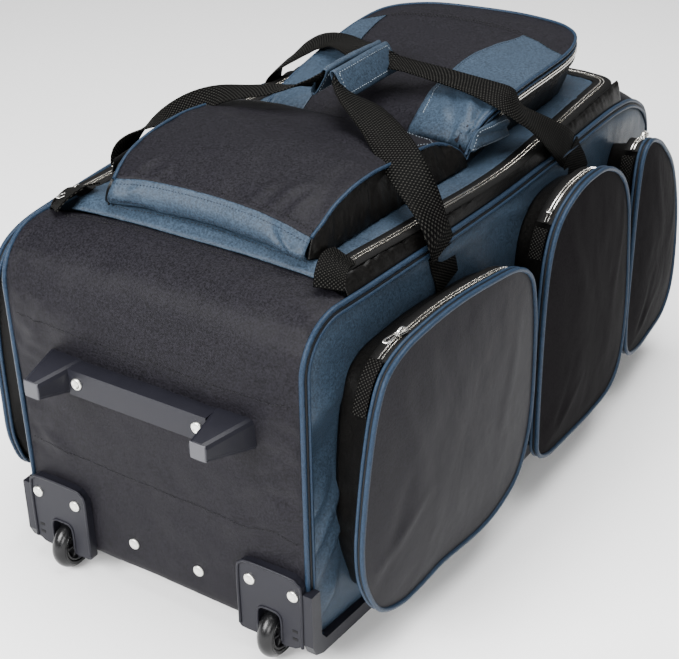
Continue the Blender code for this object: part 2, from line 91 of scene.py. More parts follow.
def spline(points, count, closed=False):
    """Evenly spaced points on a smooth curve through the given ones."""
    given = np.array(points, float)
    total = len(given)
    dense = []
    for i in range(total if closed else total - 1):
        before = given[i - 1] if closed or i else 2 * given[0] - given[1]
        first, second = given[i], given[(i + 1) % total]
        after = given[(i + 2) % total] if closed or i + 2 < total else 2 * given[-1] - given[-2]
        for t in np.linspace(0, 1, 20, endpoint=False):
            dense.append(0.5 * (2 * first + (second - before) * t
                                + (2 * before - 5 * first + 4 * second - after) * t * t
                                + (3 * first - before - 3 * second + after) * t ** 3))
    dense.append(given[0] if closed else given[-1])
    return even(dense, count, closed)


def even(points, count, closed=False):
    """Points spaced evenly along a fine polyline; a closed one doesn't repeat its start."""
    dense = np.array(points, float)
    lengths = np.r_[0, np.cumsum(np.linalg.norm(np.diff(dense, axis=0), axis=1))]
    at = np.linspace(0, lengths[-1], count, endpoint=not closed)
    columns = [np.interp(at, lengths, dense[:, k]) for k in range(dense.shape[1])]
    return [Vector(row) for row in np.stack(columns, axis=1)]


def lookup(table, value):
    """Value at a place in a table of (place, value), with a smooth curve through the entries."""
    last = len(table) - 1
    i = 0
    while i < last - 1 and value > table[i + 1][0]:
        i += 1
    (x0, y0), (x1, y1) = table[i], table[i + 1]
    before = table[i - 1] if i else (2 * x0 - x1, y0)
    after = table[i + 2] if i + 2 <= last else (2 * x1 - x0, y1)
    m0 = (y1 - before[1]) / (x1 - before[0])
    m1 = (after[1] - y0) / (after[0] - x0)
    t = min(1.0, max(0.0, (value - x0) / (x1 - x0)))
    span = x1 - x0
    return ((2 * t ** 3 - 3 * t * t + 1) * y0 + (t ** 3 - 2 * t * t + t) * span * m0
            + (3 * t * t - 2 * t ** 3) * y1 + (t ** 3 - t * t) * span * m1)


def bulge(along):
    return lookup(BULGE, min(max(along, 0), LENGTH))


def crumple(point, scale, stretch=(1, 1, 1), seed=0):
    """Smooth noise from about -1 to 1; stretch above 1 shortens the waves along an axis."""
    return noise.fractal(Vector((point[0] * stretch[0] * scale + seed,
                                 point[1] * stretch[1] * scale,
                                 point[2] * stretch[2] * scale)), 0.9, 2.1, 3)


def fold(a, b, start, end, width, height):
    """A soft ridge along a line from start to end in a flat pair of coordinates."""
    start, end = Vector(start), Vector(end)
    line = end - start
    point = Vector((a, b)) - start
    t = min(1.0, max(0.0, point.dot(line) / line.length_squared))
    gap = (point - line * t).length
    return height * math.exp(-(gap / width) ** 2) * math.sin(math.pi * (0.12 + 0.76 * t))


def pleats(p, centre, count, reach, height):
    """Sharp folds that fan out from a pinched corner."""
    away = Vector((p.x, p.y)) - place(*centre, 0).xy
    gap = away.length
    angle = math.atan2(away.y, away.x)
    wave = abs(math.sin(count * angle / 2 + 0.7)) * 2 - 1
    return height * wave * ramp(gap, 0.003, 0.016) * math.exp(-gap / reach)


def flat_section(width, thickness):
    """Corners of a flat band's section, for Piece.sweep."""
    a, o = width / 2, thickness / 2
    return [(-a, -o), (a, -o), (a, o), (-a, o)]


class Piece:
    """Collects grids, swept bands and blocks, and becomes one object."""

    def __init__(self):
        self.points, self.faces, self.coords = [], [], []

    def grid(self, rows, around=False, loop=False):
        """Skins rows of equal length, with texture coordinates in metres along the surface."""
        high, wide = len(rows), len(rows[0])
        base = len(self.points)
        for row in rows:
            self.points.extend(Vector(p) for p in row)
        middle = rows[high // 2]
        across = np.r_[0, np.cumsum([(middle[(j + 1) % wide] - middle[j]).length
                                     for j in range(wide)])]
        column = [row[wide // 2] for row in rows]
        up = np.r_[0, np.cumsum([(column[(i + 1) % high] - column[i]).length
                                 for i in range(high)])]
        for i in range(high if loop else high - 1):
            for j in range(wide if around else wide - 1):
                ni, nj = (i + 1) % high, (j + 1) % wide
                self.faces.append([base + i * wide + j, base + i * wide + nj,
                                   base + ni * wide + nj, base + ni * wide + j])
                self.coords.append([(across[j], up[i]), (across[j + 1], up[i]),
                                    (across[j + 1], up[i + 1]), (across[j], up[i + 1])])
        return base

    def cap(self, first, count, reverse=False):
        face = list(range(first, first + count))
        self.faces.append(face[::-1] if reverse else face)
        self.coords.append([(0.0, 0.0)] * count)

    def sweep(self, path, section, normals, closed=False):
        """Carries a closed section of (across, out) along a path, with its ends capped."""
        rows = []
        total = len(path)
        for i, centre in enumerate(path):
            before = path[i - 1] if i or closed else path[i]
            after = path[(i + 1) % total] if i + 1 < total or closed else path[i]
            tangent = (after - before).normalized()
            normal = normals[i] if isinstance(normals, list) else normals
            across = tangent.cross(normal).normalized()
            out = across.cross(tangent)
            shape = section(i / (total - 1)) if callable(section) else section
            rows.append([centre + across * a + out * o for a, o in shape])
        base = self.grid(rows, around=True, loop=closed)
        if not closed:
            wide = len(rows[0])
            self.cap(base, wide)
            self.cap(base + (total - 1) * wide, wide, reverse=True)

    def cord(self, path, radius, closed=False, sides=8):
        """A round cord along a path."""
        turns = [2 * math.pi * k / sides for k in range(sides)]
        section = [(math.cos(a) * radius, -math.sin(a) * radius) for a in turns]
        total = len(path)
        first = (path[1] - path[0]).normalized()
        normal = first.orthogonal().normalized()
        normals = []
        for i in range(total):
            before = path[i - 1] if i or closed else path[i]
            after = path[(i + 1) % total] if i + 1 < total or closed else path[i]
            tangent = (after - before).normalized()
            normal = (normal - tangent * normal.dot(tangent)).normalized()
            normals.append(normal)
        self.sweep(path, section, normals, closed)

    def block(self, centre, right, front, up, size, taper=1.0):
        """A box with its top face narrowed by taper."""
        base = len(self.points)
        for level, share in ((-1, 1.0), (1, taper)):
            for a, f in ((-1, -1), (1, -1), (1, 1), (-1, 1)):
                self.points.append(centre + right * (a * size[0] / 2 * share)
                                   + front * (f * size[1] / 2 * share) + up * (level * size[2] / 2))
        for face in ((3, 2, 1, 0), (4, 5, 6, 7), (0, 1, 5, 4), (1, 2, 6, 5), (2, 3, 7, 6),
                     (3, 0, 4, 7)):
            self.faces.append([base + k for k in face])
            self.coords.append([(0, 0), (size[0], 0), (size[0], size[1]), (0, size[1])])

    def lathe(self, centre, axis, profile, turns=32, closed=False):
        """Turns a profile of (radius, offset along axis)."""
        side = axis.orthogonal().normalized()
        other = axis.cross(side)
        rows = []
        for k in range(turns):
            a = 2 * math.pi * k / turns
            spoke = side * math.cos(a) + other * math.sin(a)
            rows.append([centre + spoke * r + axis * o for r, o in profile])
        self.grid(rows, around=closed, loop=True)

    def stitches(self, path, tree, pitch=0.0042, length=0.0029, radius=0.00055):
        """Short thread stitches laid on the surface nearest a path."""
        total = sum((b - a).length for a, b in zip(path, path[1:]))
        count = max(2, int(total / pitch))
        spots = even(path, count)
        for before, after in zip(spots, spots[1:]):
            found, normal, _, _ = tree.find_nearest((before + after) / 2)
            along = (after - before).normalized()
            along = (along - normal * along.dot(normal)).normalized()
            across = along.cross(normal)
            centre = found + normal * radius * 0.5
            base = len(self.points)
            self.points += [centre - along * length / 2, centre + across * radius,
                            centre + normal * radius, centre - across * radius,
                            centre - normal * radius, centre + along * length / 2]
            for k in range(4):
                a, b = base + 1 + k, base + 1 + (k + 1) % 4
                self.faces += [[base, b, a], [base + 5, a, b]]
                self.coords += [[(0, 0)] * 3] * 2

    def make(self, name, material, body, slot, stands_for=(), smooth=True, thickness=0.0,
             subdivide=0, bevel=0.0, moved=None):
        """The finished object, riding on a body."""
        mesh = bpy.data.meshes.new(name)
        mesh.from_pydata([tuple(p) for p in self.points], [], self.faces)
        layer = mesh.uv_layers.new(name="metres")
        layer.data.foreach_set("uv", [c for face in self.coords for uv in face for c in uv])
        mesh.polygons.foreach_set("use_smooth", [smooth] * len(mesh.polygons))
        mesh.materials.append(material)
        mesh.update()
        made = bpy.data.objects.new(name, mesh)
        bpy.context.scene.collection.objects.link(made)
        if moved:
            shift(made, moved)
        if thickness:
            solid = made.modifiers.new("thickness", "SOLIDIFY")
            solid.thickness = abs(thickness)
            solid.offset = -1 if thickness > 0 else 1
        if bevel:
            edge = made.modifiers.new("bevel", "BEVEL")
            edge.width = bevel
            edge.segments = 2
            edge.angle_limit = math.radians(35)
        if subdivide:
            finer = made.modifiers.new("subdivide", "SUBSURF")
            finer.levels = finer.render_levels = subdivide
        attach(made, body)
        if stands_for:
            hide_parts(*stands_for)
        return made


def shift(made, offset):
    """Moves each point along its normal by offset(point, normal)."""
    mesh = made.data
    normals = [v.normal.copy() for v in mesh.vertices]
    moves = [normal * offset(v.co, normal) for v, normal in zip(mesh.vertices, normals)]
    for vertex, move in zip(mesh.vertices, moves):
        vertex.co += move
    mesh.update()


def surface_of(*objects):
    """A search tree over the finished surfaces."""
    points, faces = [], []
    graph = bpy.context.evaluated_depsgraph_get()
    for made in objects:
        evaluated = made.evaluated_get(graph)
        mesh = evaluated.to_mesh()
        base = len(points)
        points += [evaluated.matrix_world @ v.co for v in mesh.vertices]
        faces += [[base + k for k in p.vertices] for p in mesh.polygons]
        evaluated.to_mesh_clear()
    return BVHTree.FromPolygons(points, faces)


# ---------------------------------------------------------------- materials
def shader(name, roughness, metallic=0.0, specular=0.5):
    material = bpy.data.materials.new(name)
    material.use_nodes = True
    tree = material.node_tree
    principled = tree.nodes["Principled BSDF"]
    principled.inputs["Roughness"].default_value = roughness
    principled.inputs["Metallic"].default_value = metallic
    principled.inputs["Specular IOR Level"].default_value = specular
    return material, tree, principled


def feed(tree, value, target):
    """Links a socket to an input, or sets the input to a plain value."""
    if isinstance(value, bpy.types.NodeSocket):
        tree.links.new(value, target)
    else:
        target.default_value = value


def node(tree, kind, **values):
    """A new node; values set its properties, or its inputs by name."""
    made = tree.nodes.new(kind)
    for key, value in values.items():
        if hasattr(made, key):
            setattr(made, key, value)
        else:
            feed(tree, value, made.inputs[key.replace("_", " ")])
    return made


def maths(tree, operation, first, second=0.0):
    made = tree.nodes.new("ShaderNodeMath")
    made.operation = operation
    feed(tree, first, made.inputs[0])
    feed(tree, second, made.inputs[1])
    return made.outputs[0]


def mixed(tree, share, first, second):
    """A colour between two, by a 0 to 1 share."""
    made = tree.nodes.new("ShaderNodeMix")
    made.data_type = "RGBA"
    feed(tree, share, made.inputs["Factor"])
    targets = [s for s in made.inputs if s.type == "RGBA"]
    for value, target in zip((first, second), targets):
        feed(tree, (*value, 1) if isinstance(value, tuple) else value, target)
    return [s for s in made.outputs if s.type == "RGBA"][0]


def noise_on(tree, place_on, scale, detail, roughness=0.5):
    """A noise texture in the piece's own metres: its 0 to 1 value."""
    made = node(tree, "ShaderNodeTexNoise", Vector=place_on.outputs["Object"], Scale=scale,
                Detail=detail, Roughness=roughness)
    return made.outputs["Fac"]


def thread_wave(tree, place_on, pitch, axis):
    """A sine across the cloth, -1 to 1, with one wave for each pitch in metres."""
    split = node(tree, "ShaderNodeSeparateXYZ", Vector=place_on.outputs["UV"])
    turned = maths(tree, "MULTIPLY", split.outputs[axis], 2 * math.pi / pitch)
    return maths(tree, "SINE", turned)


def scaled(colour, factor):
    return tuple(c * factor for c in colour)


def bump(tree, principled, layers):
    """Chains (height socket, strength, distance) bumps into the shader's normal."""
    previous = None
    for height, strength, distance in layers:
        made = tree.nodes.new("ShaderNodeBump")
        made.inputs["Strength"].default_value = strength
        made.inputs["Distance"].default_value = distance
        tree.links.new(height, made.inputs["Height"])
        if previous:
            tree.links.new(previous, made.inputs["Normal"])
        previous = made.outputs["Normal"]
    tree.links.new(previous, principled.inputs["Normal"])


def fabric(name, colour, roughness=0.55, pitch=0.0011, grain=0.35, specular=0.4):
    """Coated woven polyester: fine weave, grainy tone and small creases."""
    material, tree, principled = shader(name, roughness, specular=specular)
    place_on = tree.nodes.new("ShaderNodeTexCoord")
    warp = thread_wave(tree, place_on, pitch, "X")
    weft = thread_wave(tree, place_on, pitch, "Y")
    weave = maths(tree, "MULTIPLY", warp, weft)
    fleck = noise_on(tree, place_on, 400.0, 1.0, 0.8)
    tone = noise_on(tree, place_on, 9.0, 3.0)
    crease = noise_on(tree, place_on, 38.0, 4.0, 0.55)
    speckle = maths(tree, "MULTIPLY", maths(tree, "SUBTRACT", fleck, 0.32), 2.8)
    flecked = mixed(tree, speckle, scaled(colour, max(0.0, 1 - grain * 2.2)),
                    scaled(colour, 1 + grain * 3.0))
    worn = mixed(tree, tone, scaled(colour, 0.78), scaled(colour, 1.22))
    tree.links.new(mixed(tree, 0.5, flecked, worn), principled.inputs["Base Color"])
    tree.links.new(maths(tree, "ADD", maths(tree, "MULTIPLY", fleck, 0.22),
                         roughness - 0.11), principled.inputs["Roughness"])
    bump(tree, principled, ((crease, 0.35, 0.0022),
                            (fleck, 0.30, 0.0006), (weave, 0.25, 0.00016)))
    return material


def webbing(name, colour, light, pitch=0.0015):
    """Heavy plain-woven webbing: a grid of knuckles, with a painted highlight on their tops."""
    material, tree, principled = shader(name, 0.6, specular=0.03)
    place_on = tree.nodes.new("ShaderNodeTexCoord")
    warp = thread_wave(tree, place_on, 2 * pitch, "X")
    weft = thread_wave(tree, place_on, 2 * pitch, "Y")
    knuckle = maths(tree, "MAXIMUM", maths(tree, "MULTIPLY", warp, weft), 0.0)
    lit = maths(tree, "POWER", knuckle, 1.4)
    fleck = noise_on(tree, place_on, 500.0, 2.0)
    share = maths(tree, "MULTIPLY", lit, maths(tree, "ADD", fleck, 0.35))
    tree.links.new(mixed(tree, share, colour, light), principled.inputs["Base Color"])
    bump(tree, principled, ((knuckle, 0.8, 0.0009), (fleck, 0.2, 0.0003)))
    return material


def ribbed(name, colour, pitch=0.0016, roughness=0.6):
    """Zip tape: fine ribs along its length."""
    material, tree, principled = shader(name, roughness, specular=0.10)
    place_on = tree.nodes.new("ShaderNodeTexCoord")
    ribs = thread_wave(tree, place_on, pitch, "X")
    fleck = noise_on(tree, place_on, 420.0, 2.0)
    tree.links.new(mixed(tree, fleck, scaled(colour, 0.6), scaled(colour, 1.5)),
                   principled.inputs["Base Color"])
    bump(tree, principled, ((ribs, 0.4, 0.0003), (fleck, 0.3, 0.0004)))
    return material


def moulded(name, colour, roughness=0.42, grain=0.0006, specular=0.5):
    """Injection-moulded plastic: fine grain, slight shading and scuffs."""
    material, tree, principled = shader(name, roughness, specular=specular)
    place_on = tree.nodes.new("ShaderNodeTexCoord")
    fine = noise_on(tree, place_on, 900.0, 2.0)
    broad = noise_on(tree, place_on, 22.0, 5.0, 0.65)
    tree.links.new(mixed(tree, broad, scaled(colour, 0.8), scaled(colour, 1.2)),
                   principled.inputs["Base Color"])
    tree.links.new(maths(tree, "ADD", maths(tree, "MULTIPLY", broad, 0.24),
                         roughness - 0.12), principled.inputs["Roughness"])
    bump(tree, principled, ((fine, 0.25, grain),))
    return material


def metal(name, colour, roughness=0.25):
    material, tree, principled = shader(name, roughness, metallic=1.0)
    place_on = tree.nodes.new("ShaderNodeTexCoord")
    smear = noise_on(tree, place_on, 240.0, 3.0)
    tree.links.new(mixed(tree, smear, scaled(colour, 0.82), colour),
                   principled.inputs["Base Color"])
    tree.links.new(maths(tree, "ADD", maths(tree, "MULTIPLY", smear, 0.2),
                         roughness - 0.1), principled.inputs["Roughness"])
    bump(tree, principled, ((smear, 0.1, 0.0003),))
    return material


BLACK = fabric("black_polyester", (0.0062, 0.0058, 0.0076), 0.50, specular=0.07, grain=0.42)
# A darker, less reflective copy of the black cloth: painted shade for the middle and far side
# pocket fronts.
BLACK_PAINTED_SHADE = fabric("black_polyester_painted_shade", (0.0050, 0.0045, 0.0050), 0.62, specular=0.012,
                    grain=0.40)
# Black gusset cloth, darker than the main black: partly its own colour, partly painted shade for
# the recessed gusset walls.
GUSSET = fabric("black_gusset_nylon_and_shade", (0.0026, 0.0024, 0.0022), 0.36, grain=0.3, specular=0.12)
BLUE = fabric("slate_blue_polyester", (0.0185, 0.0295, 0.0450), 0.44, grain=0.3, specular=0.14)
PIPING = fabric("blue_piping", (0.0105, 0.0205, 0.0375), 0.4, grain=0.2, specular=0.12)
# The second colour of the webbing is the painted highlight on its knuckle tops.
STRAP = webbing("black_webbing", (0.0006, 0.0006, 0.0006), (0.030, 0.029, 0.026), pitch=0.0022)
TAPE = ribbed("zip_tape", (0.0030, 0.0029, 0.0028))
PLASTIC = moulded("charcoal_plastic", (0.0080, 0.0080, 0.0115), specular=0.16)
BAR_END = moulded("grey_tip_plastic", (0.035, 0.035, 0.042), roughness=0.5)
WHEEL_RUBBER = moulded("wheel_rubber", (0.003, 0.003, 0.0035), roughness=0.24, specular=0.3)
WHEEL_HUB = moulded("wheel_hub_plastic", (0.006, 0.006, 0.007), roughness=0.35, specular=0.3)
BOARD = moulded("base_board_sheet", (0.03, 0.03, 0.032), roughness=0.6)
RIVET = metal("nickel_rivet", (0.86, 0.86, 0.80), 0.34)
ZIP_METAL = metal("zip_metal", (0.90, 0.88, 0.84), 0.22)
# Black thread for stitching; also the near-black stand-in for painted shade in piping grooves and
# housing vents.
DARK_THREAD_AND_SHADE = fabric("black_thread_and_shade", (0.003, 0.003, 0.0035), grain=0.2, specular=0.15)
PALE_THREAD = fabric("pale_thread", (0.13, 0.155, 0.18), grain=0.2)
BLUE_THREAD = fabric("navy_thread", (0.005, 0.009, 0.018), grain=0.2, specular=0.2)


# ---------------------------------------------------------------- side panels and their piping
CORNER_NEAR = 0.062
CORNER_BASE = 0.028
FAR_SLOPE = ((0.640, 0.4405), (0.700, 0.4375), (0.750, 0.4315), (0.800, 0.4210), (0.850, 0.4000),
             (0.880, 0.3790), (0.898, 0.3500), (0.905, 0.3080))


def panel_top(along):
    """Height of a side panel's outline at a distance along the bag."""
    if along < CORNER_NEAR:
        return TOP_Z - CORNER_NEAR + math.sqrt(max(0.0, CORNER_NEAR ** 2
                                                   - (CORNER_NEAR - along) ** 2))
    return lookup(FAR_SLOPE, along) if along > FAR_SLOPE[0][0] else TOP_Z


def panel_foot(along):
    edge = min(along, LENGTH - along)
    if edge >= CORNER_BASE:
        return BASE_Z
    return BASE_Z + CORNER_BASE - math.sqrt(max(0.0, CORNER_BASE ** 2
                                                - (CORNER_BASE - edge) ** 2))


def panel_outline(inset=0.0, count=420):
    """(along, z) round a side panel, counted from the base at the wheel end and over the top."""
    share = [(1 - math.cos(math.pi * k / 160)) / 2 for k in range(161)]
    upper = [(LENGTH * s, panel_top(LENGTH * s)) for s in share]
    lower = [(LENGTH * s, panel_foot(LENGTH * s)) for s in share[::-1]]
    flat = even([(a, z) for a, z in upper + lower[1:]], count, closed=True)
    if not inset:
        return flat
    moved = []
    for i, p in enumerate(flat):
        tangent = (flat[(i + 1) % count] - flat[i - 1]).normalized()
        moved.append(p + Vector((tangent.y, -tangent.x)) * inset)
    return moved


SIDE_FOLDS = (
    ((0.000, 0.330), (0.060, 0.350), 0.016, 0.0060),
    ((-0.01, 0.262), (0.070, 0.292), 0.030, -0.0125),
    ((0.000, 0.150), (0.055, 0.236), 0.007, 0.0078),
    ((0.008, 0.118), (0.060, 0.196), 0.006, 0.0064),
    ((0.000, 0.198), (0.036, 0.246), 0.006, 0.0052),
    ((0.000, 0.088), (0.050, 0.104), 0.018, 0.0055),
    ((0.010, 0.060), (0.045, 0.130), 0.006, 0.0040),
    ((0.20, 0.432), (0.34, 0.415), 0.010, 0.0030),
    ((0.34, 0.436), (0.44, 0.405), 0.008, 0.0040),
    ((0.38, 0.440), (0.50, 0.425), 0.006, 0.0036),
    ((0.64, 0.430), (0.70, 0.400), 0.009, 0.0036),
    ((0.70, 0.425), (0.84, 0.385), 0.010, 0.0030),
)


def side_height(along, z):
    """How far a side panel puffs out beyond its seam."""
    edge = min(along, LENGTH - along, z - panel_foot(along), panel_top(along) - z)
    puff = 0.0085 * (1 - math.exp(-max(edge, 0) / 0.016))
    spot = Vector((0, along, z))
    puff += 0.0016 * crumple(spot, 9, (1, 1, 0.7), 3) * ramp(edge, 0, 0.03)
    puff += 0.0007 * crumple(spot, 34, (1, 1, 0.6), 5) * ramp(edge, 0, 0.02)
    folds = sum(fold(along, z, *f) for f in SIDE_FOLDS)
    return puff + folds * ramp(edge, 0, 0.012)


def slouch(side, along, z):
    """The left wheel-end corner leans out a little further than the right."""
    return 0.0055 * (side < 0) * ramp(z, 0.22, 0.36) * (1 - ramp(along, 0.05, 0.30))


def side_point(side, along, z, lift=0.0):
    return place(side * (HALF_WIDTH + bulge(along) + lift + slouch(side, along, z)), along, z)


PANELS = {}
for side_name, side in SIDES.items():
    columns = 150
    shares = [0.5 * (i / columns) + 0.25 * (1 - math.cos(math.pi * i / columns))
              for i in range(columns + 1)]
    rows = []
    for s in shares[::side]:
        along = LENGTH * s
        low, high = panel_foot(along), panel_top(along)
        row = []
        for k in range(61):
            z = low + (high - low) * k / 60
            row.append(side_point(side, along, z, side_height(along, z) - 0.002))
        rows.append(row)
    panel = Piece()
    panel.grid(rows)
    PANELS[side_name] = panel.make(f"side_{side_name}", BLUE, "bag_body", "blue_fabric",
                                   (f"side_panel_{side_name}",), thickness=-0.0018)

for side_name, side in SIDES.items():
    trim = Piece()
    trim.cord([side_point(side, a, z, 0.0006) for a, z in panel_outline()], 0.0031, closed=True)
    trim.cord([side_point(side, a, z, 0.0040) for a, z in panel_outline(0.0068)], 0.0021,
              closed=True)
    trim.make(f"side_piping_{side_name}", PIPING, "bag_body", "blue_fabric")
    # A near-black cord between the two piping cords: painted shade for the crease of the seam.
    groove_shade = Piece()
    groove_shade.cord([side_point(side, a, z, 0.0022) for a, z in panel_outline(0.0040)], 0.0020,
                closed=True)
    groove_shade.make(f"side_piping_groove_{side_name}", DARK_THREAD_AND_SHADE, "bag_body", "black_fabric")


# ---------------------------------------------------------------- end wraps, lid, top gussets
def end_wrap(name, edge_curve, middle_curve, stands_for, folds, seed, outward):
    """A black end panel that curves over onto the top, crowned between its side seams."""
    tall, wide = 110, 96
    edge = spline(edge_curve, tall)
    middle = spline(middle_curve, tall)
    rows = []
    for i in range(tall):
        row = []
        for k in range(wide + 1):
            u = -1 + 2 * k / wide
            u = math.copysign(1 - (1 - abs(u)) ** 1.25, u)
            lift = (1 - abs(u) ** 3.2) ** 0.62
            at = edge[i].lerp(middle[i], lift)
            reach = HALF_WIDTH + bulge(edge[i].x) - 0.0015
            lean = slouch(-1, edge[i].x, edge[i].y) * ramp(-u, 0.3, 1.0)
            row.append(place(u * reach - lean, at.x, at.y))
        rows.append(row)
    sheet = Piece()
    sheet.grid(rows if outward > 0 else [row[::-1] for row in rows])

    def crease(p, _):
        side_share = abs(p.x) / HALF_WIDTH
        near_edge = ramp(side_share, 0.62, 0.9) * (1 - ramp(side_share, 0.96, 1.0))
        value = 0.0016 * crumple(p, 7, (1, 1, 1), seed) + 0.0006 * crumple(p, 30, (1, 1, 1), seed)
        value += 0.0024 * near_edge * crumple(p, 26, (0.6, 1, 1.5), seed + 4)
        value += sum(fold(p.x, p.z, *f) for f in folds)
        return value * (1 - ramp(side_share, 0.965, 1.0))

    return sheet.make(name, BLACK, "bag_body", "black_fabric", stands_for, thickness=0.0018,
                      moved=crease)


WHEEL_END_EDGE = ((0.010, 0.0305), (0.0015, 0.046), (0.0, 0.10), (0.0, 0.25), (0.0, 0.372),
                  (0.0050, 0.4030), (0.0185, 0.4235), (0.0400, 0.4370), (0.062, 0.4402),
                  (0.0800, 0.4402))
WHEEL_END_MIDDLE = ((0.010, 0.0300), (0.0000, 0.046), (-0.0015, 0.10), (-0.0030, 0.23),
                    (-0.0060, 0.350), (0.0010, 0.3950), (0.0140, 0.4220), (0.0360, 0.4410),
                    (0.0590, 0.4500), (0.0860, 0.4535))
WHEEL_END_FOLDS = (
    ((-0.170, 0.380), (-0.060, 0.350), 0.030, 0.0035),
    ((-0.06, 0.395), (0.10, 0.375), 0.022, -0.0035),
    ((0.05, 0.345), (0.180, 0.330), 0.024, 0.0030),
    ((0.120, 0.215), (0.185, 0.262), 0.008, 0.0026),
    ((0.105, 0.160), (0.188, 0.205), 0.009, 0.0030),
    ((0.140, 0.145), (0.190, 0.160), 0.006, 0.0022),
    ((0.150, 0.255), (0.192, 0.290), 0.006, 0.0020),
    ((-0.185, 0.30), (-0.140, 0.38), 0.009, 0.0022),
    ((-0.180, 0.20), (-0.130, 0.17), 0.010, 0.0024),
)
FAR_END_EDGE = ((0.895, 0.0305), (0.9035, 0.046), (0.905, 0.10), (0.905, 0.20), (0.905, 0.290),
                (0.9040, 0.325), (0.8980, 0.350), (0.880, 0.379), (0.850, 0.400),
                (0.800, 0.4210), (0.7640, 0.4290))
FAR_END_MIDDLE = ((0.895, 0.0300), (0.9050, 0.046), (0.9065, 0.10), (0.9080, 0.20),
                  (0.9070, 0.290), (0.9020, 0.345), (0.8820, 0.390), (0.8450, 0.423),
                  (0.8000, 0.4450), (0.7640, 0.4600))
FAR_END_FOLDS = (
    ((-0.15, 0.36), (0.02, 0.34), 0.028, 0.0034),
    ((0.03, 0.31), (0.17, 0.35), 0.020, 0.0030),
    ((-0.18, 0.16), (-0.10, 0.22), 0.010, 0.0026),
    ((0.11, 0.15), (0.18, 0.20), 0.010, 0.0026),
)
NEAR_WRAP = end_wrap("wheel_end_wrap", WHEEL_END_EDGE, WHEEL_END_MIDDLE, ("wheel_end_panel",),
                     WHEEL_END_FOLDS, 11, 1)
end_wrap("far_end_wrap", FAR_END_EDGE, FAR_END_MIDDLE, ("far_end_panel",), FAR_END_FOLDS, 17, -1)

seams = Piece()
near_tree = surface_of(NEAR_WRAP)
for heights in (((-0.192, 0.352), (0, 0.3475), (0.193, 0.3475)),
                ((-0.192, 0.180), (0, 0.1725), (0.193, 0.1730))):
    line = [place(x, -0.02, z) for x, z in spline(heights, 60)]
    seams.stitches(line, near_tree, radius=0.0007)
for setback in (0.076, 0.0705):
    line = [place(x, setback + 0.004 * (1 - (x / 0.17) ** 2), 0.47)
            for x in np.linspace(-0.172, 0.172, 60)]
    seams.stitches(line, near_tree, radius=0.0007)
seams.make("wheel_end_stitching", DARK_THREAD_AND_SHADE, "bag_body", "black_fabric", smooth=False)


CHAIN_CURVE = ((0.080, 0.1810), (0.144, 0.1870), (0.186, 0.1925), (0.298, 0.2045),
               (0.356, 0.2105), (0.4256, 0.2130), (0.5045, 0.2090), (0.570, 0.2050),
               (0.653, 0.1995), (0.728, 0.1950), (0.770, 0.1950))


def chain_x(along):
    """Half width of the lid's right zip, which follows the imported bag's bulge."""
    return lookup(CHAIN_CURVE, along)


LEFT_CHAIN_X = -0.1805
TAPE_IN = 0.0100
LID_FRONT, LID_BACK = 0.0835, 0.7645


def lid_edges(along):
    return LEFT_CHAIN_X + TAPE_IN, chain_x(along) - TAPE_IN


rows = []
for i in range(111):
    share = i / 110
    row = []
    for k in range(61):
        u = k / 60
        front = LID_FRONT + 0.0035 * (1 - (2 * u - 1) ** 2)
        along = front + (LID_BACK - 0.006 - front) * share
        low, high = lid_edges(along)
        near_back = max(0.0, along - (LID_BACK - 0.034)) / 0.030
        pull_in = 0.030 * (1 - math.sqrt(max(0.0, 1 - near_back ** 2)))
        low, high = low + pull_in, high - pull_in
        x = low + (high - low) * u
        crown = 0.0025 * (1 - (2 * u - 1) ** 4)
        drop = 0.0095 * (1 - ramp(along - front, 0, 0.018))
        row.append(place(x, along, LID_Z - 0.002 + crown - drop))
    rows.append(row)
sheet = Piece()
sheet.grid(rows)
LID = sheet.make("lid_cloth", BLUE, "lid", "blue_fabric", ("lid_panel",), thickness=0.0022,
                 moved=lambda p, _: 0.0013 * crumple(p, 16, (1, 1.6, 1), 7)
                 + 0.0008 * crumple(p, 48, (1, 1, 1), 9))

for side_name, side in SIDES.items():
    rows = []
    for i in range(241):
        along = 0.0830 + (0.7660 - 0.0830) * i / 240
        inner = chain_x(along) if side > 0 else -LEFT_CHAIN_X
        inner += 0.0085
        outer = HALF_WIDTH + bulge(along) - 0.0012
        row = []
        for k in range(15):
            t = k / 14
            x = inner + (outer - inner) * t
            sag = math.sin(math.pi * t)
            pucker = sag * (0.0030 * crumple((0, along, 0), 55, seed=side * 3)
                            + 0.0016 * crumple((t * 0.05, along, 0), 130, seed=side * 5))
            z = 0.4600 + (panel_top(along) + 0.0005 - 0.4600) * t ** 1.5 + sag * 0.003 + pucker
            row.append(place(side * x, along, z))
        rows.append(row if side > 0 else row[::-1])
    strip = Piece()
    strip.grid(rows)
    strip.make(f"top_gusset_{side_name}", GUSSET, "bag_body", "black_fabric",
               (f"lid_edge_strip_{side_name}",), thickness=0.0016)


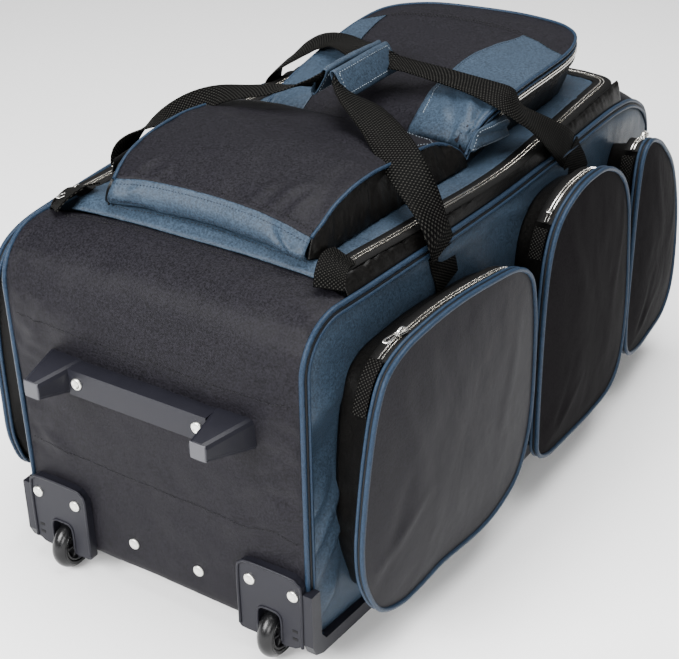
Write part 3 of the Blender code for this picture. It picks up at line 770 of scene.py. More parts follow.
# ---------------------------------------------------------------- zips
def zip_line(chain, tape, path, normals, half_gap=0.0019, tooth=(0.0016, 0.0015, 0.0013),
             pitch=0.0018, tape_width=0.0, tape_drop=0.0008):
    """Two rows of metal teeth on a path, with the tape under them."""
    total = sum((b - a).length for a, b in zip(path, path[1:]))
    count = max(3, int(total / pitch))
    spots = even(path, count)
    ends = np.linspace(0, len(path) - 1, count)
    for i in range(1, count - 1):
        tangent = (spots[i + 1] - spots[i - 1]).normalized()
        normal = normals[min(len(normals) - 1, int(round(ends[i])))]
        across = tangent.cross(normal).normalized()
        normal = across.cross(tangent)
        for row, shift_on in ((-1, 0.0), (1, pitch / 2)):
            chain.block(spots[i] + across * (row * half_gap) + tangent * shift_on
                        + normal * tooth[2] * 0.5, across, tangent, normal, tooth, 0.72)
    if tape_width:
        half = tape_width / 2
        lowered = [p - n * tape_drop for p, n in zip(path, normals)]
        tape.sweep(lowered, [(-half, -0.0005), (half, -0.0005), (half, 0.0005), (0.0008, 0.0006),
                             (0.0004, 0.0002), (-0.0004, 0.0002), (-0.0008, 0.0006),
                             (-half, 0.0005)], normals)


chain, tape = Piece(), Piece()
up = Vector((0, 0, 1))
right_path = [place(chain_x(a), a, 0.4625) for a in np.linspace(0.098, 0.728, 90)]
corner = [(chain_x(0.728), 0.728), (0.1920, 0.7440), (0.1810, 0.7550), (0.1600, 0.7600)]
back_path = [place(x, a, 0.4625) for x, a in spline(corner, 26)]
across_path = [place(x, 0.7605 + 0.001 * (1 - (x / 0.15) ** 2), 0.4630)
               for x in np.linspace(0.160, -0.150, 40)]
corner = [(-0.150, 0.7610), (-0.170, 0.7565), (-0.1795, 0.742), (LEFT_CHAIN_X, 0.722)]
left_back = [place(x, a, 0.4625) for x, a in spline(corner, 26)]
left_path = [place(LEFT_CHAIN_X, a, 0.4625) for a in np.linspace(0.722, 0.098, 90)]
main_path = right_path + back_path[1:] + across_path[1:] + left_back[1:] + left_path[1:]
main_path = even(main_path, 420)
zip_line(chain, tape, main_path, [up] * len(main_path), half_gap=0.0022, tape_width=0.025,
         tooth=(0.0017, 0.0015, 0.0014))
chain.make("main_zip_chain", ZIP_METAL, "bag_body", "steel", smooth=False)
tape.make("main_zip_tape", TAPE, "bag_body", "black_fabric")

# Webbing tabs over the two ends of the main zip
tabs = Piece()
for side in (1, -1):
    base = 0.190 if side > 0 else 0.186
    path = spline([(base - 0.012, 0.121, 0.4655), (base - 0.011, 0.100, 0.4700),
                   (base - 0.006, 0.082, 0.4640), (base - 0.001, 0.070, 0.4520)], 14)
    path = [place(side * p.x, p.y, p.z) for p in path]
    normals = [Vector((side * 0.35, -0.1, 1)).normalized()] * len(path)
    tabs.sweep(path, flat_section(0.033, 0.0020), normals)
tabs.make("zip_end_tabs", STRAP, "bag_body", "black_webbing", smooth=False)


# ---------------------------------------------------------------- top pockets
band_top = spline(((-0.1160, 0.1010, 0.4945), (-0.0712, 0.1085, 0.4985), (0.0, 0.1105, 0.5000),
                   (0.0670, 0.1085, 0.4980), (0.1100, 0.1050, 0.4935), (0.1480, 0.1010, 0.4870)),
                  51)


def near_pocket_top(edges, folds, seed, crown):
    """The near pocket's top sheet, crowned between its left and right edges."""
    left, right = (spline(curve, 60) for curve in edges)
    rows = []
    for i, (a, b) in enumerate(zip(left, right)):
        row = []
        to_band = 1 - ramp(i, 0, 9)
        for k in range(51):
            u = k / 50
            p = a.lerp(b, u)
            lift = crown * (1 - (2 * u - 1) ** 4)
            p = Vector((p.x, p.y, p.z + lift))
            p += (band_top[k] - left[0].lerp(right[0], u) - Vector((0, 0, lift))) * to_band
            row.append(place(*p))
        rows.append(row)
    sheet = Piece()
    sheet.grid(rows)

    def crease(p, _):
        along = p.y + MID
        value = 0.0015 * crumple(p, 11, (1, 1, 1), seed) + 0.0008 * crumple(p, 36, (1, 1, 1), seed)
        value += sum(fold(p.x, along, *f) for f in folds)
        value += pleats(p, (0.168, 0.392), 15, 0.024, 0.0045)
        value += pleats(p, (0.152, 0.098), 13, 0.018, 0.0035)
        return value * ramp(along, 0.102, 0.116)

    return sheet.make("near_pocket_top", BLACK, "lid", "black_fabric", ("top_pocket_near",),
                      thickness=0.0018, moved=crease)


NEAR_RIGHT = ((0.1480, 0.1010, 0.4865), (0.1495, 0.1190, 0.4955), (0.1500, 0.1405, 0.5060),
              (0.1500, 0.1640, 0.5116), (0.1500, 0.1880, 0.5150), (0.1500, 0.2250, 0.5155),
              (0.1500, 0.2570, 0.5125), (0.1500, 0.3190, 0.5074), (0.1530, 0.3620, 0.5000),
              (0.1640, 0.3850, 0.4870), (0.1710, 0.3925, 0.4760))
NEAR_LEFT = ((-0.1160, 0.0990, 0.4940), (-0.1230, 0.1190, 0.5010), (-0.1310, 0.1450, 0.5065),
             (-0.1370, 0.1740, 0.5100), (-0.1410, 0.2050, 0.5120), (-0.1430, 0.2400, 0.5130),
             (-0.1440, 0.2750, 0.5120), (-0.1430, 0.3250, 0.5060), (-0.1410, 0.3620, 0.4980),
             (-0.1380, 0.3800, 0.4880), (-0.1330, 0.3860, 0.4780))
NEAR_FOLDS = (
    ((0.085, 0.112), (0.105, 0.165), 0.006, 0.0030),
    ((0.110, 0.108), (0.122, 0.150), 0.0045, 0.0026),
    ((0.060, 0.112), (0.072, 0.150), 0.006, 0.0020),
    ((-0.100, 0.105), (-0.085, 0.150), 0.007, 0.0030),
    ((-0.070, 0.108), (-0.062, 0.135), 0.005, 0.0020),
    ((0.138, 0.115), (0.120, 0.210), 0.009, -0.0030),
    ((-0.04, 0.18), (0.08, 0.26), 0.040, 0.0035),
    ((-0.12, 0.30), (0.10, 0.34), 0.030, -0.0030),
)
NEAR_TOP = near_pocket_top((NEAR_LEFT, NEAR_RIGHT), NEAR_FOLDS, 21, crown=0.0065)

# Blue front band of the near pocket, gathered at its two lower corners
band_foot = spline(((-0.1200, 0.0930, 0.4655), (-0.1000, 0.0980, 0.4655), (-0.0700, 0.1025, 0.4660),
                    (0.0, 0.1055, 0.4665), (0.0700, 0.1015, 0.4660), (0.1100, 0.0965, 0.4650),
                    (0.1280, 0.0930, 0.4640), (0.1470, 0.0925, 0.4640)), 51)
rows = []
for i in range(25):
    t = i / 24
    row = []
    for low, high in zip(band_foot, band_top):
        p = low.lerp(high, t)
        row.append(place(p.x, p.y - 0.0075 * math.sin(math.pi * t ** 0.8), p.z))
    rows.append(row)


BAND_FOLDS = (
    ((0.105, 0.490), (0.138, 0.468), 0.0035, 0.0042),
    ((0.098, 0.487), (0.128, 0.466), 0.003, -0.0038),
    ((-0.112, 0.490), (-0.100, 0.470), 0.004, 0.0030),
    ((-0.095, 0.480), (-0.080, 0.492), 0.004, 0.0018),
    ((-0.118, 0.470), (-0.060, 0.468), 0.0035, -0.0020),
)


def band_crease(p, _):
    return 0.0012 * crumple(p, 26, (1, 1, 0.6), 31) + sum(fold(p.x, p.z, *f) for f in BAND_FOLDS)


sheet = Piece()
sheet.grid(rows)
BAND = sheet.make("near_pocket_band", BLUE, "lid", "blue_fabric", thickness=0.0016,
                  moved=band_crease)


POCKET_FOOT_Z = 0.4645


def on_lid(*points):
    """Places (x, along) at the height where the top pockets meet the lid."""
    return [(x, along, POCKET_FOOT_Z) for x, along in points]


def wall(name, top_curve, foot_curve, material, seed, flip, depth=0.004, ribs=70, amount=0.0026,
         rows_up=16):
    """A soft gusset wall between an upper and a lower edge, puckered along its length."""
    count = 120
    top, foot = spline(top_curve, count), spline(foot_curve, count)
    grid_rows = [[place(*a.lerp(b, i / rows_up)) for a, b in zip(foot, top)]
                 for i in range(rows_up + 1)]
    if flip:
        grid_rows = [row[::-1] for row in grid_rows]
    sheet = Piece()
    sheet.grid(grid_rows)
    lows = [p.z for p in foot]
    base, height = min(lows), max(p.z for p in top) - min(lows)

    def crease(p, _):
        t = min(1.0, max(0.0, (p.z - base) / height))
        swell = math.sin(math.pi * t)
        return (depth * swell + amount * (0.25 + swell) * crumple(p, ribs, (0.5, 1, 0.25), seed)
                + 0.4 * amount * crumple(p, ribs * 2.3, (0.6, 1, 0.4), seed + 2))

    return sheet.make(name, material, "lid", "black_fabric", thickness=0.0016, moved=crease)


NEAR_RIGHT_FOOT = on_lid((0.1480, 0.0930), (0.1580, 0.1100), (0.1580, 0.1500), (0.1600, 0.2000),
                         (0.1640, 0.2600), (0.1680, 0.3200), (0.1720, 0.3700), (0.1740, 0.3940))
NEAR_LEFT_FOOT = on_lid((-0.1200, 0.0905), (-0.1400, 0.1100), (-0.1480, 0.1500), (-0.1520, 0.2000),
                        (-0.1540, 0.2600), (-0.1540, 0.3200), (-0.1500, 0.3600), (-0.1400, 0.3870))
wall("near_pocket_gusset_right", NEAR_RIGHT, NEAR_RIGHT_FOOT, GUSSET, 41, False, depth=0.0015,
     ribs=42, amount=0.0030)
wall("near_pocket_gusset_left", NEAR_LEFT, NEAR_LEFT_FOOT, GUSSET, 43, True, depth=0.0015)
near_back = ((-0.1330, 0.3860, 0.4780), (-0.05, 0.3880, 0.4840), (0.05, 0.3900, 0.4840),
             (0.1710, 0.3925, 0.4760))
near_back_foot = on_lid((-0.1400, 0.3880), (-0.05, 0.3900), (0.05, 0.3920), (0.1740, 0.3950))
wall("near_pocket_back", near_back, near_back_foot, GUSSET, 45, True, depth=0.0)

FAR_OUT_RIGHT = ((0.1725, 0.3930, 0.4800), (0.1755, 0.4050, 0.5000), (0.1780, 0.4250, 0.5130),
                 (0.1800, 0.4500, 0.5195), (0.1800, 0.4900, 0.5240), (0.1800, 0.5400, 0.5260),
                 (0.1800, 0.5900, 0.5268), (0.1790, 0.6430, 0.5275), (0.1740, 0.6800, 0.5290),
                 (0.1620, 0.7130, 0.5305), (0.1430, 0.7340, 0.5315), (0.1150, 0.7480, 0.5320),
                 (0.0600, 0.7570, 0.5320), (0.0000, 0.7550, 0.5315), (-0.0600, 0.7460, 0.5310),
                 (-0.0950, 0.7290, 0.5300), (-0.1170, 0.7040, 0.5290), (-0.1270, 0.6700, 0.5270),
                 (-0.1300, 0.6100, 0.5215), (-0.1300, 0.5400, 0.5100), (-0.1300, 0.4750, 0.4960),
                 (-0.1280, 0.4350, 0.4860), (-0.1240, 0.4050, 0.4780), (-0.1150, 0.3930, 0.4740))


FAR_BACK = ((-0.130, 0.625), (-0.1285, 0.660), (-0.117, 0.704), (-0.095, 0.729),
            (-0.060, 0.746), (0.0, 0.755), (0.060, 0.757), (0.115, 0.748),
            (0.143, 0.734), (0.162, 0.713), (0.174, 0.680), (0.180, 0.630))
FAR_FRONT = ((-0.130, 0.470), (-0.128, 0.430), (-0.115, 0.398), (-0.06, 0.3925),
             (0.0, 0.3920), (0.1, 0.3920), (0.165, 0.3925), (0.1735, 0.3980),
             (0.178, 0.425), (0.180, 0.47))
FAR_RIGHT_HEIGHT = ((0.392, 0.4800), (0.405, 0.5000), (0.425, 0.5130), (0.450, 0.5195),
                    (0.490, 0.5240), (0.540, 0.5260), (0.643, 0.5275), (0.713, 0.5305),
                    (0.757, 0.5320))
FAR_LEFT_HEIGHT = ((0.392, 0.4740), (0.435, 0.4860), (0.475, 0.4960), (0.540, 0.5100),
                   (0.610, 0.5215), (0.670, 0.5270), (0.729, 0.5300), (0.757, 0.5310))


def far_column(x):
    """Where the far pocket's top starts and ends along the bag at a sideways place."""
    return lookup(FAR_FRONT, x), lookup(FAR_BACK, x)


def far_height(x, along):
    """Height of the far pocket's top, with a shallow dip near its front."""
    right, left = lookup(FAR_RIGHT_HEIGHT, along), lookup(FAR_LEFT_HEIGHT, along)
    share = ramp(x, -0.13, 0.18)
    dip = 0.010 * math.exp(-((x - 0.02) / 0.075) ** 2) * (1 - ramp(along, 0.42, 0.56))
    return left + (right - left) * share - dip


FAR_FOLDS = (
    ((0.168, 0.398), (0.120, 0.430), 0.0050, 0.0045),
    ((0.166, 0.402), (0.145, 0.455), 0.0050, 0.0045),
    ((0.160, 0.396), (0.090, 0.405), 0.0060, 0.0040),
    ((0.172, 0.410), (0.166, 0.470), 0.0045, -0.0030),
    ((0.150, 0.405), (0.115, 0.470), 0.0060, -0.0045),
    ((0.02, 0.60), (0.14, 0.58), 0.05, 0.0020),
)


def far_crease(p, _):
    along = p.y + MID
    front, back = far_column(min(0.1799, max(-0.1299, p.x)))
    edge = min(along - front, back - along, p.x + 0.13, 0.18 - p.x)
    value = (0.0014 * crumple(p, 9, (1, 1, 1), 51) + 0.0006 * crumple(p, 34, (1, 1, 1), 53)
             + sum(fold(p.x, along, *f) for f in FAR_FOLDS)
             + pleats(p, (0.174, 0.392), 17, 0.030, 0.0060)
             + pleats(p, (-0.118, 0.395), 15, 0.022, 0.0030))
    return value * ramp(edge, -0.002, 0.01) + 0.004 * ramp(edge, 0.0, 0.05)


def far_rows(x_values, steps=84):
    rows = []
    for x in x_values:
        front, back = far_column(x)
        rows.append([place(x, front + (back - front) * k / steps,
                           far_height(x, front + (back - front) * k / steps))
                     for k in range(steps + 1)])
    return rows[::-1]


cosine = [(1 - math.cos(math.pi * k / 84)) / 2 for k in range(85)]
sheet = Piece()
sheet.grid(far_rows([-0.1299 + 0.3098 * (0.4 * k / 84 + 0.6 * c) for k, c in enumerate(cosine)]))
FAR_TOP = sheet.make("far_pocket_top", BLACK, "lid", "black_fabric", ("top_pocket_far",),
                     thickness=0.0018, moved=far_crease)
far_tree = surface_of(FAR_TOP)


def overlay(name, outline_rows, tree, lift):
    """A blue patch laid on a surface: rows of (x, along) dropped onto it from above."""
    rows = []
    for row in outline_rows:
        laid = []
        for x, along in row:
            found, normal, _, _ = tree.ray_cast(place(x, along, 0.65), Vector((0, 0, -1)))
            if found is None:
                found, normal, _, _ = tree.find_nearest(place(x, along, 0.50))
            laid.append(found + normal * lift)
        rows.append(laid)
    patch = Piece()
    patch.grid(rows)
    return patch.make(name, BLUE, "lid", "blue_fabric", thickness=0.0012)


RIGHT_SEAM = ((0.394, 0.090), (0.43, 0.089), (0.47, 0.081), (0.55, 0.080), (0.61, 0.090),
              (0.675, 0.106))
LEFT_SEAM = ((0.40, -0.070), (0.50, -0.080), (0.57, -0.088), (0.66, -0.100))
BAND_SEAM = ((-0.1300, 0.640), (-0.103, 0.663), (-0.065, 0.679), (0.0, 0.690), (0.064, 0.6865),
             (0.109, 0.672), (0.1500, 0.6500), (0.1800, 0.638))


def patch_rows(inner, front_end, side, count=60, wide=30):
    """Rows of a corner patch, from its inner seam to the pocket's edge and back to the band."""
    rows = []
    for i in range(count + 1):
        share = i / count
        inner_x = lookup(inner, front_end + (0.670 - front_end) * share)
        limit = 0.1795 if side > 0 else 0.1290
        outer = front_end + (lookup(BAND_SEAM, side * limit) - front_end) * share
        while not far_column(side * limit)[0] + 0.001 <= outer:
            limit -= 0.001
        row = []
        for k in range(wide + 1):
            x = inner_x + (side * limit - inner_x) * k / wide
            row.append((x, front_end + (lookup(BAND_SEAM, x) - front_end) * share))
        rows.append(row if side > 0 else row[::-1])
    return rows


PATCHES = [overlay("far_pocket_blue_right", patch_rows(RIGHT_SEAM, 0.3945, 1), far_tree, 0.0022),
           overlay("far_pocket_blue_left", patch_rows(LEFT_SEAM, 0.405, -1), far_tree, 0.0013)]
trim = Piece()
for curve in (NEAR_RIGHT, NEAR_LEFT):
    path = [place(*p) for p in spline(curve, 90)]
    trim.cord(path, 0.0022)
path = [place(*p) for p in spline(FAR_OUT_RIGHT, 300)]
trim.cord(path, 0.0022)
lower = [p + Vector((0.0012 if p.x > 0 else -0.0012, 0, -0.0062)) for p in path]
trim.cord(lower, 0.0014)
trim.make("top_pocket_piping", PIPING, "lid", "blue_fabric")

FAR_FOOT = on_lid((0.1740, 0.3955), (0.1690, 0.4100), (0.1660, 0.4400), (0.1640, 0.4900),
                  (0.1640, 0.5400), (0.1640, 0.5900), (0.1630, 0.6430), (0.1590, 0.6800),
                  (0.1500, 0.7080), (0.1350, 0.7270), (0.1100, 0.7400), (0.0600, 0.7470),
                  (0.0000, 0.7460), (-0.0600, 0.7380), (-0.0900, 0.7220), (-0.1100, 0.6990),
                  (-0.1190, 0.6650), (-0.1220, 0.6100), (-0.1220, 0.5400), (-0.1220, 0.4750),
                  (-0.1210, 0.4350), (-0.1190, 0.4080), (-0.1130, 0.3960))
wall("far_pocket_wall", FAR_OUT_RIGHT, FAR_FOOT, GUSSET, 61, False, depth=0.0022, ribs=38,
     amount=0.0016, rows_up=20)
chain, tape = Piece(), Piece()
ZIP_DOWN_WALL = 0.20
zip_top = [Vector(p) for p in FAR_OUT_RIGHT[3:-5]]
zip_foot = [Vector(p) for p in FAR_FOOT[3:-4]]
zip_curve = []
for p in zip_top:
    nearest = min(zip_foot, key=lambda q: (q.xy - p.xy).length)
    zip_curve.append(p.lerp(nearest, ZIP_DOWN_WALL))
path = [place(*p) for p in spline(zip_curve, 200)]
normals = []
for i, p in enumerate(path):
    tangent = path[min(i + 1, 199)] - path[max(i - 1, 0)]
    normals.append(Vector((tangent.y, -tangent.x, 0)).normalized())
path = [p + n * 0.0042 for p, n in zip(path, normals)]
zip_line(chain, tape, path, normals, tape_width=0.020)
near_zip = [(-0.1440, 0.130, 0.4930), (-0.1500, 0.20, 0.4950), (-0.1510, 0.28, 0.4950),
            (-0.1490, 0.355, 0.4900)]
path = [place(*p) for p in spline(near_zip, 80)]
zip_line(chain, tape, path, [Vector((-1, 0, 0.25)).normalized()] * 80, tape_width=0.018)
chain.make("top_zip_chains", ZIP_METAL, "lid", "steel", smooth=False)
tape.make("top_zip_tapes", TAPE, "lid", "black_fabric")

# Front wall of the far pocket, low and gathered, and the stitched tab at its right corner
far_front_top = ((-0.1150, 0.3925, 0.4735), (-0.06, 0.3920, 0.4760), (0.0, 0.3915, 0.4730),
                 (0.08, 0.3920, 0.4740), (0.13, 0.3922, 0.4790), (0.1725, 0.3925, 0.4800))
far_front_foot = on_lid((-0.1130, 0.3965), (0.0, 0.3965), (0.08, 0.3965), (0.1740, 0.3960))
wall("far_pocket_front", far_front_top, far_front_foot, BLUE, 63, False, depth=0.0)

tab_top = spline([(0.1755, 0.3940, 0.4880), (0.1800, 0.4070, 0.5070), (0.1835, 0.4350, 0.5090),
                  (0.1845, 0.4710, 0.5070)], 30)
tab_foot = spline([(0.1765, 0.3940, 0.4830), (0.1800, 0.4040, 0.4810), (0.1830, 0.4400, 0.4790),
                   (0.1845, 0.4760, 0.4765)], 30)
tab = Piece()
tab.grid([[place(*a.lerp(b, k / 12)) + Vector((0.0030 * math.sin(math.pi * k / 12), 0, 0))
           for a, b in zip(tab_foot, tab_top)] for k in range(13)])
TAB = tab.make("far_pocket_tab", BLUE, "lid", "blue_fabric", thickness=0.0012,
               moved=lambda p, _: 0.0022 * math.sin((p.z * 3.2 + p.y * 0.5) * 110)
               * ramp(p.y + MID, 0.395, 0.42))

# Stitching on the top pockets
near_tree = surface_of(NEAR_TOP)
band_tree = surface_of(BAND)
pale, navy, dark = Piece(), Piece(), Piece()
navy.stitches([place(*(p + Vector((0, -0.006, -0.0035)))) for p in band_top], band_tree)
for rise in (0.0035, 0.0068):
    navy.stitches([place(*(p + Vector((0, -0.008, rise)))) for p in band_foot], band_tree)
dark.stitches([place(p.x, p.y + 0.004, p.z + 0.01) for p in band_top], near_tree)
lid_tree = surface_of(LID)
dark.stitches([place(p.x, p.y - 0.0035, 0.47) for p in band_foot], lid_tree)
patch_tree = surface_of(*PATCHES, FAR_TOP)
pale.stitches([place(lookup(RIGHT_SEAM, a) + 0.0025, a, 0.54)
               for a in np.linspace(0.398, 0.50, 24)], patch_tree, radius=0.0007)
navy.stitches([place(lookup(RIGHT_SEAM, a) + 0.0025, a, 0.54)
               for a in np.linspace(0.50, 0.668, 40)], patch_tree)
navy.stitches([place(lookup(LEFT_SEAM, a) - 0.0025, a, 0.54)
               for a in np.linspace(0.41, 0.645, 50)], patch_tree)
for back in (0.001, 0.007):
    dark.stitches([place(x, lookup(BAND_SEAM, x) + back, 0.55)
                   for x in np.linspace(-0.126, 0.174, 90)], patch_tree, radius=0.0008)
# Pale stitching where the near pocket's top is turned in at its far right corner
turned = spline([(0.085, 0.378), (0.110, 0.3745), (0.135, 0.369), (0.1495, 0.3600),
                 (0.1520, 0.3480), (0.1440, 0.3340), (0.1420, 0.3050)], 60)
pale.stitches([place(p.x, p.y, 0.52) for p in turned], near_tree, radius=0.0007)
tab_tree = surface_of(TAB)
pale.stitches([place(*p) + Vector((0.006, 0, -0.003)) for p in tab_top], tab_tree, radius=0.0007)
pale.stitches([place(*p) + Vector((0.006, 0, 0.003)) for p in tab_foot], tab_tree, radius=0.0007)
pale.make("pale_stitching", PALE_THREAD, "lid", "blue_fabric", smooth=False)
navy.make("navy_stitching", BLUE_THREAD, "lid", "blue_fabric", smooth=False)
dark.make("dark_stitching", DARK_THREAD_AND_SHADE, "lid", "black_fabric", smooth=False)


# ---------------------------------------------------------------- side pockets
POCKET_DEPTH = 0.0625
SEWN_LIFT = 0.0062
POCKET_MIDDLE_Z = 0.24


def out_of_pocket(front, k, p, middle):
    """The (along, z) direction out of a pocket's outline at its point k, seen from p."""
    tangent = (front[(k + 1) % len(front)] - front[k - 1]).normalized()
    outward = Vector((-tangent.y, tangent.x))
    return -outward if outward.dot(p - middle) < 0 else outward


def side_pocket(name, side, shape, stands_for, slider_along, seed):
    """A gusseted pocket: puckered walls, a crowned front with double piping, and its zip."""
    count, depth = 300, POCKET_DEPTH
    front = spline(shape, count, closed=True)
    start, end = min(p.x for p in front), max(p.x for p in front)
    top = max(p.y for p in front)
    middle = Vector(((start + end) / 2, POCKET_MIDDLE_Z))
    base = []
    for p in front:
        near_edge = 1 - ramp(p.x, start, start + 0.10)
        high_edge = ramp(p.y, top - 0.07, top)
        tuck = 0.024 + 0.012 * (1 - ramp(p.y, 0.12, 0.32))
        base.append(p + Vector((tuck * near_edge - 0.004 * (1 - near_edge), -0.020 * high_edge)))
    rings = []
    levels = 14
    for i in range(levels + 1):
        t = i / levels
        pinch = math.sin(math.pi * t)
        ring = []
        for k in range(count):
            p = base[k].lerp(front[k], t)
            inward = (middle - p).normalized()
            on_top = ramp(p.y, top - 0.05, top - 0.015)
            pucker = crumple((t * 0.05, p.x, p.y), 16, (1, 1, 1), seed)
            p = p + inward * pinch * (0.0060 + 0.0026 * pucker) * (1 - 0.8 * on_top)
            out = bulge(p.x) + SEWN_LIFT + (depth - SEWN_LIFT) * t
            ring.append(place(side * (HALF_WIDTH + out), p.x, p.y))
        rings.append(ring[::-side])
    wall_piece = Piece()
    wall_piece.grid(rings, around=True)
    wall_piece.make(f"{name}_gusset", GUSSET, "bag_body", "black_fabric", stands_for,
                    thickness=0.0016)
    low_z = 0.10 + 0.035 * math.sin(seed)
    folds = (
        ((start + 0.02, low_z), (start + 0.10, low_z + 0.07), 0.010, 0.0022),
        ((start + 0.03, low_z - 0.02), (start + 0.08, low_z + 0.12), 0.009, -0.0016),
        ((end - 0.05, top - 0.07), (end - 0.09, top - 0.20), 0.011, 0.0016),
        ((start + 0.06, top - 0.06), (start + 0.10, top - 0.16), 0.012, 0.0014),
    )
    rings = []
    steps = 26
    for i in range(steps + 1):
        t = i / steps
        ring = []
        for k in range(count):
            p = front[k].lerp(middle, t ** 0.9 * 0.985)
            crown = 0.0125 * (1 - (1 - min(1.0, t * 1.15)) ** 2.4)
            spot = (0, p.x, p.y)
            crown += ramp(t, 0, 0.12) * (0.0013 * crumple(spot, 10, (1, 1, 0.7), seed + 1)
                                         + 0.0006 * crumple(spot, 34, (1, 1, 0.5), seed + 2))
            crown += ramp(t, 0, 0.12) * sum(fold(p.x, p.y, *f) for f in folds)
            ring.append(place(side * (HALF_WIDTH + bulge(p.x) + depth + crown), p.x, p.y))
        rings.append(ring[::-side])
    face = Piece()
    first = face.grid(rings, around=True)
    face.cap(first + steps * count, count)
    # The middle and far pocket fronts take the darker copy of the black cloth, as painted shade.
    cloth = BLACK_PAINTED_SHADE if name in ("pocket_middle", "pocket_far") else BLACK
    cover = face.make(f"{name}_front", cloth, "bag_body", "black_fabric")
    trim, groove_shade = Piece(), Piece()

    def ring_at(level, grow):
        return [place(side * (HALF_WIDTH + bulge(p.x) + level),
                      *(p + (p - middle).normalized() * grow)) for p in front]

    trim.cord(ring_at(depth + 0.0004, 0.0006), 0.0030, closed=True)
    trim.cord(ring_at(depth - 0.0072, 0.0008), 0.0022, closed=True)
    trim.make(f"{name}_piping", PIPING, "bag_body", "blue_fabric")
    # A near-black cord between the two piping cords: painted shade for the crease of the seam.
    groove_shade.cord(ring_at(depth - 0.0038, -0.0004), 0.0021, closed=True)
    groove_shade.make(f"{name}_piping_groove", DARK_THREAD_AND_SHADE, "bag_body", "black_fabric")

    chain, tape = Piece(), Piece()
    reach = [k for k in range(count) if front[k].y > top - 0.06
             and slider_along - 0.040 < front[k].x < end - 0.012]
    path, normals = [], []
    for k in sorted(reach, key=lambda k: front[k].x):
        p = base[k].lerp(front[k], 0.70)
        outward = out_of_pocket(front, k, p, middle)
        path.append(place(side * (HALF_WIDTH + bulge(p.x) + 0.0435), *(p + outward * 0.0028)))
        normals.append(Vector((0, outward.x, outward.y)))
    zip_line(chain, tape, path, normals, tape_width=0.024)
    garage, facing = [], []
    for k in range(count):
        p = base[k].lerp(front[k], 0.62)
        if top - 0.075 < p.y and p.x < slider_along - 0.034:
            outward = out_of_pocket(front, k, p, middle)
            lifted = p + outward * 0.0036
            garage.append(place(side * (HALF_WIDTH + bulge(p.x) + 0.0400), *lifted))
            facing.append(Vector((0, outward.x, outward.y)))
    strip = Piece()
    strip.sweep(garage, flat_section(0.017, 0.0018), facing)
    strip.make(f"{name}_zip_garage", STRAP, "bag_body", "black_webbing", smooth=False)
    chain.make(f"{name}_zip_chain", ZIP_METAL, "bag_body", "steel", smooth=False)
    tape.make(f"{name}_zip_tape", TAPE, "bag_body", "black_fabric")


POCKET_SHAPES = {
    "wheel_end": ((0.020, 0.130), (0.013, 0.180), (0.020, 0.247), (0.030, 0.304), (0.041, 0.346),
                  (0.058, 0.378), (0.090, 0.396), (0.134, 0.403), (0.193, 0.405), (0.260, 0.400),
                  (0.315, 0.391), (0.348, 0.368), (0.361, 0.328), (0.367, 0.269), (0.368, 0.183),
                  (0.358, 0.131), (0.338, 0.095), (0.300, 0.074), (0.256, 0.066), (0.199, 0.069),
                  (0.166, 0.071), (0.123, 0.067), (0.083, 0.067), (0.045, 0.084)),
    "middle": ((0.390, 0.130), (0.388, 0.240), (0.391, 0.330), (0.401, 0.380), (0.422, 0.411),
               (0.460, 0.429), (0.505, 0.434), (0.554, 0.427), (0.602, 0.399), (0.634, 0.352),
               (0.652, 0.271), (0.663, 0.188), (0.658, 0.112), (0.628, 0.076), (0.563, 0.069),
               (0.466, 0.074), (0.420, 0.079), (0.395, 0.096)),
    "far": ((0.674, 0.150), (0.672, 0.250), (0.673, 0.340), (0.682, 0.392), (0.706, 0.407),
            (0.740, 0.397), (0.778, 0.374), (0.836, 0.323), (0.880, 0.250), (0.900, 0.170),
            (0.898, 0.105), (0.865, 0.075), (0.800, 0.074), (0.730, 0.078), (0.688, 0.098)),
    "long": ((0.030, 0.130), (0.026, 0.200), (0.028, 0.300), (0.044, 0.366), (0.090, 0.398),
             (0.200, 0.406), (0.450, 0.410), (0.650, 0.404), (0.760, 0.380), (0.836, 0.323),
             (0.872, 0.250), (0.880, 0.170), (0.870, 0.105), (0.830, 0.078), (0.650, 0.072),
             (0.400, 0.068), (0.150, 0.070), (0.060, 0.082)),
}
for name, side, stands_for, slider_along, seed in (
        ("wheel_end", 1, "side_pocket_wheel_end", 0.110, 71),
        ("middle", 1, "side_pocket_middle", 0.454, 75),
        ("far", 1, "side_pocket_far", 0.727, 79),
        ("long", -1, "side_pocket_left_long", 0.115, 83)):
    side_pocket(f"pocket_{name}", side, POCKET_SHAPES[name], (stands_for,), slider_along, seed)


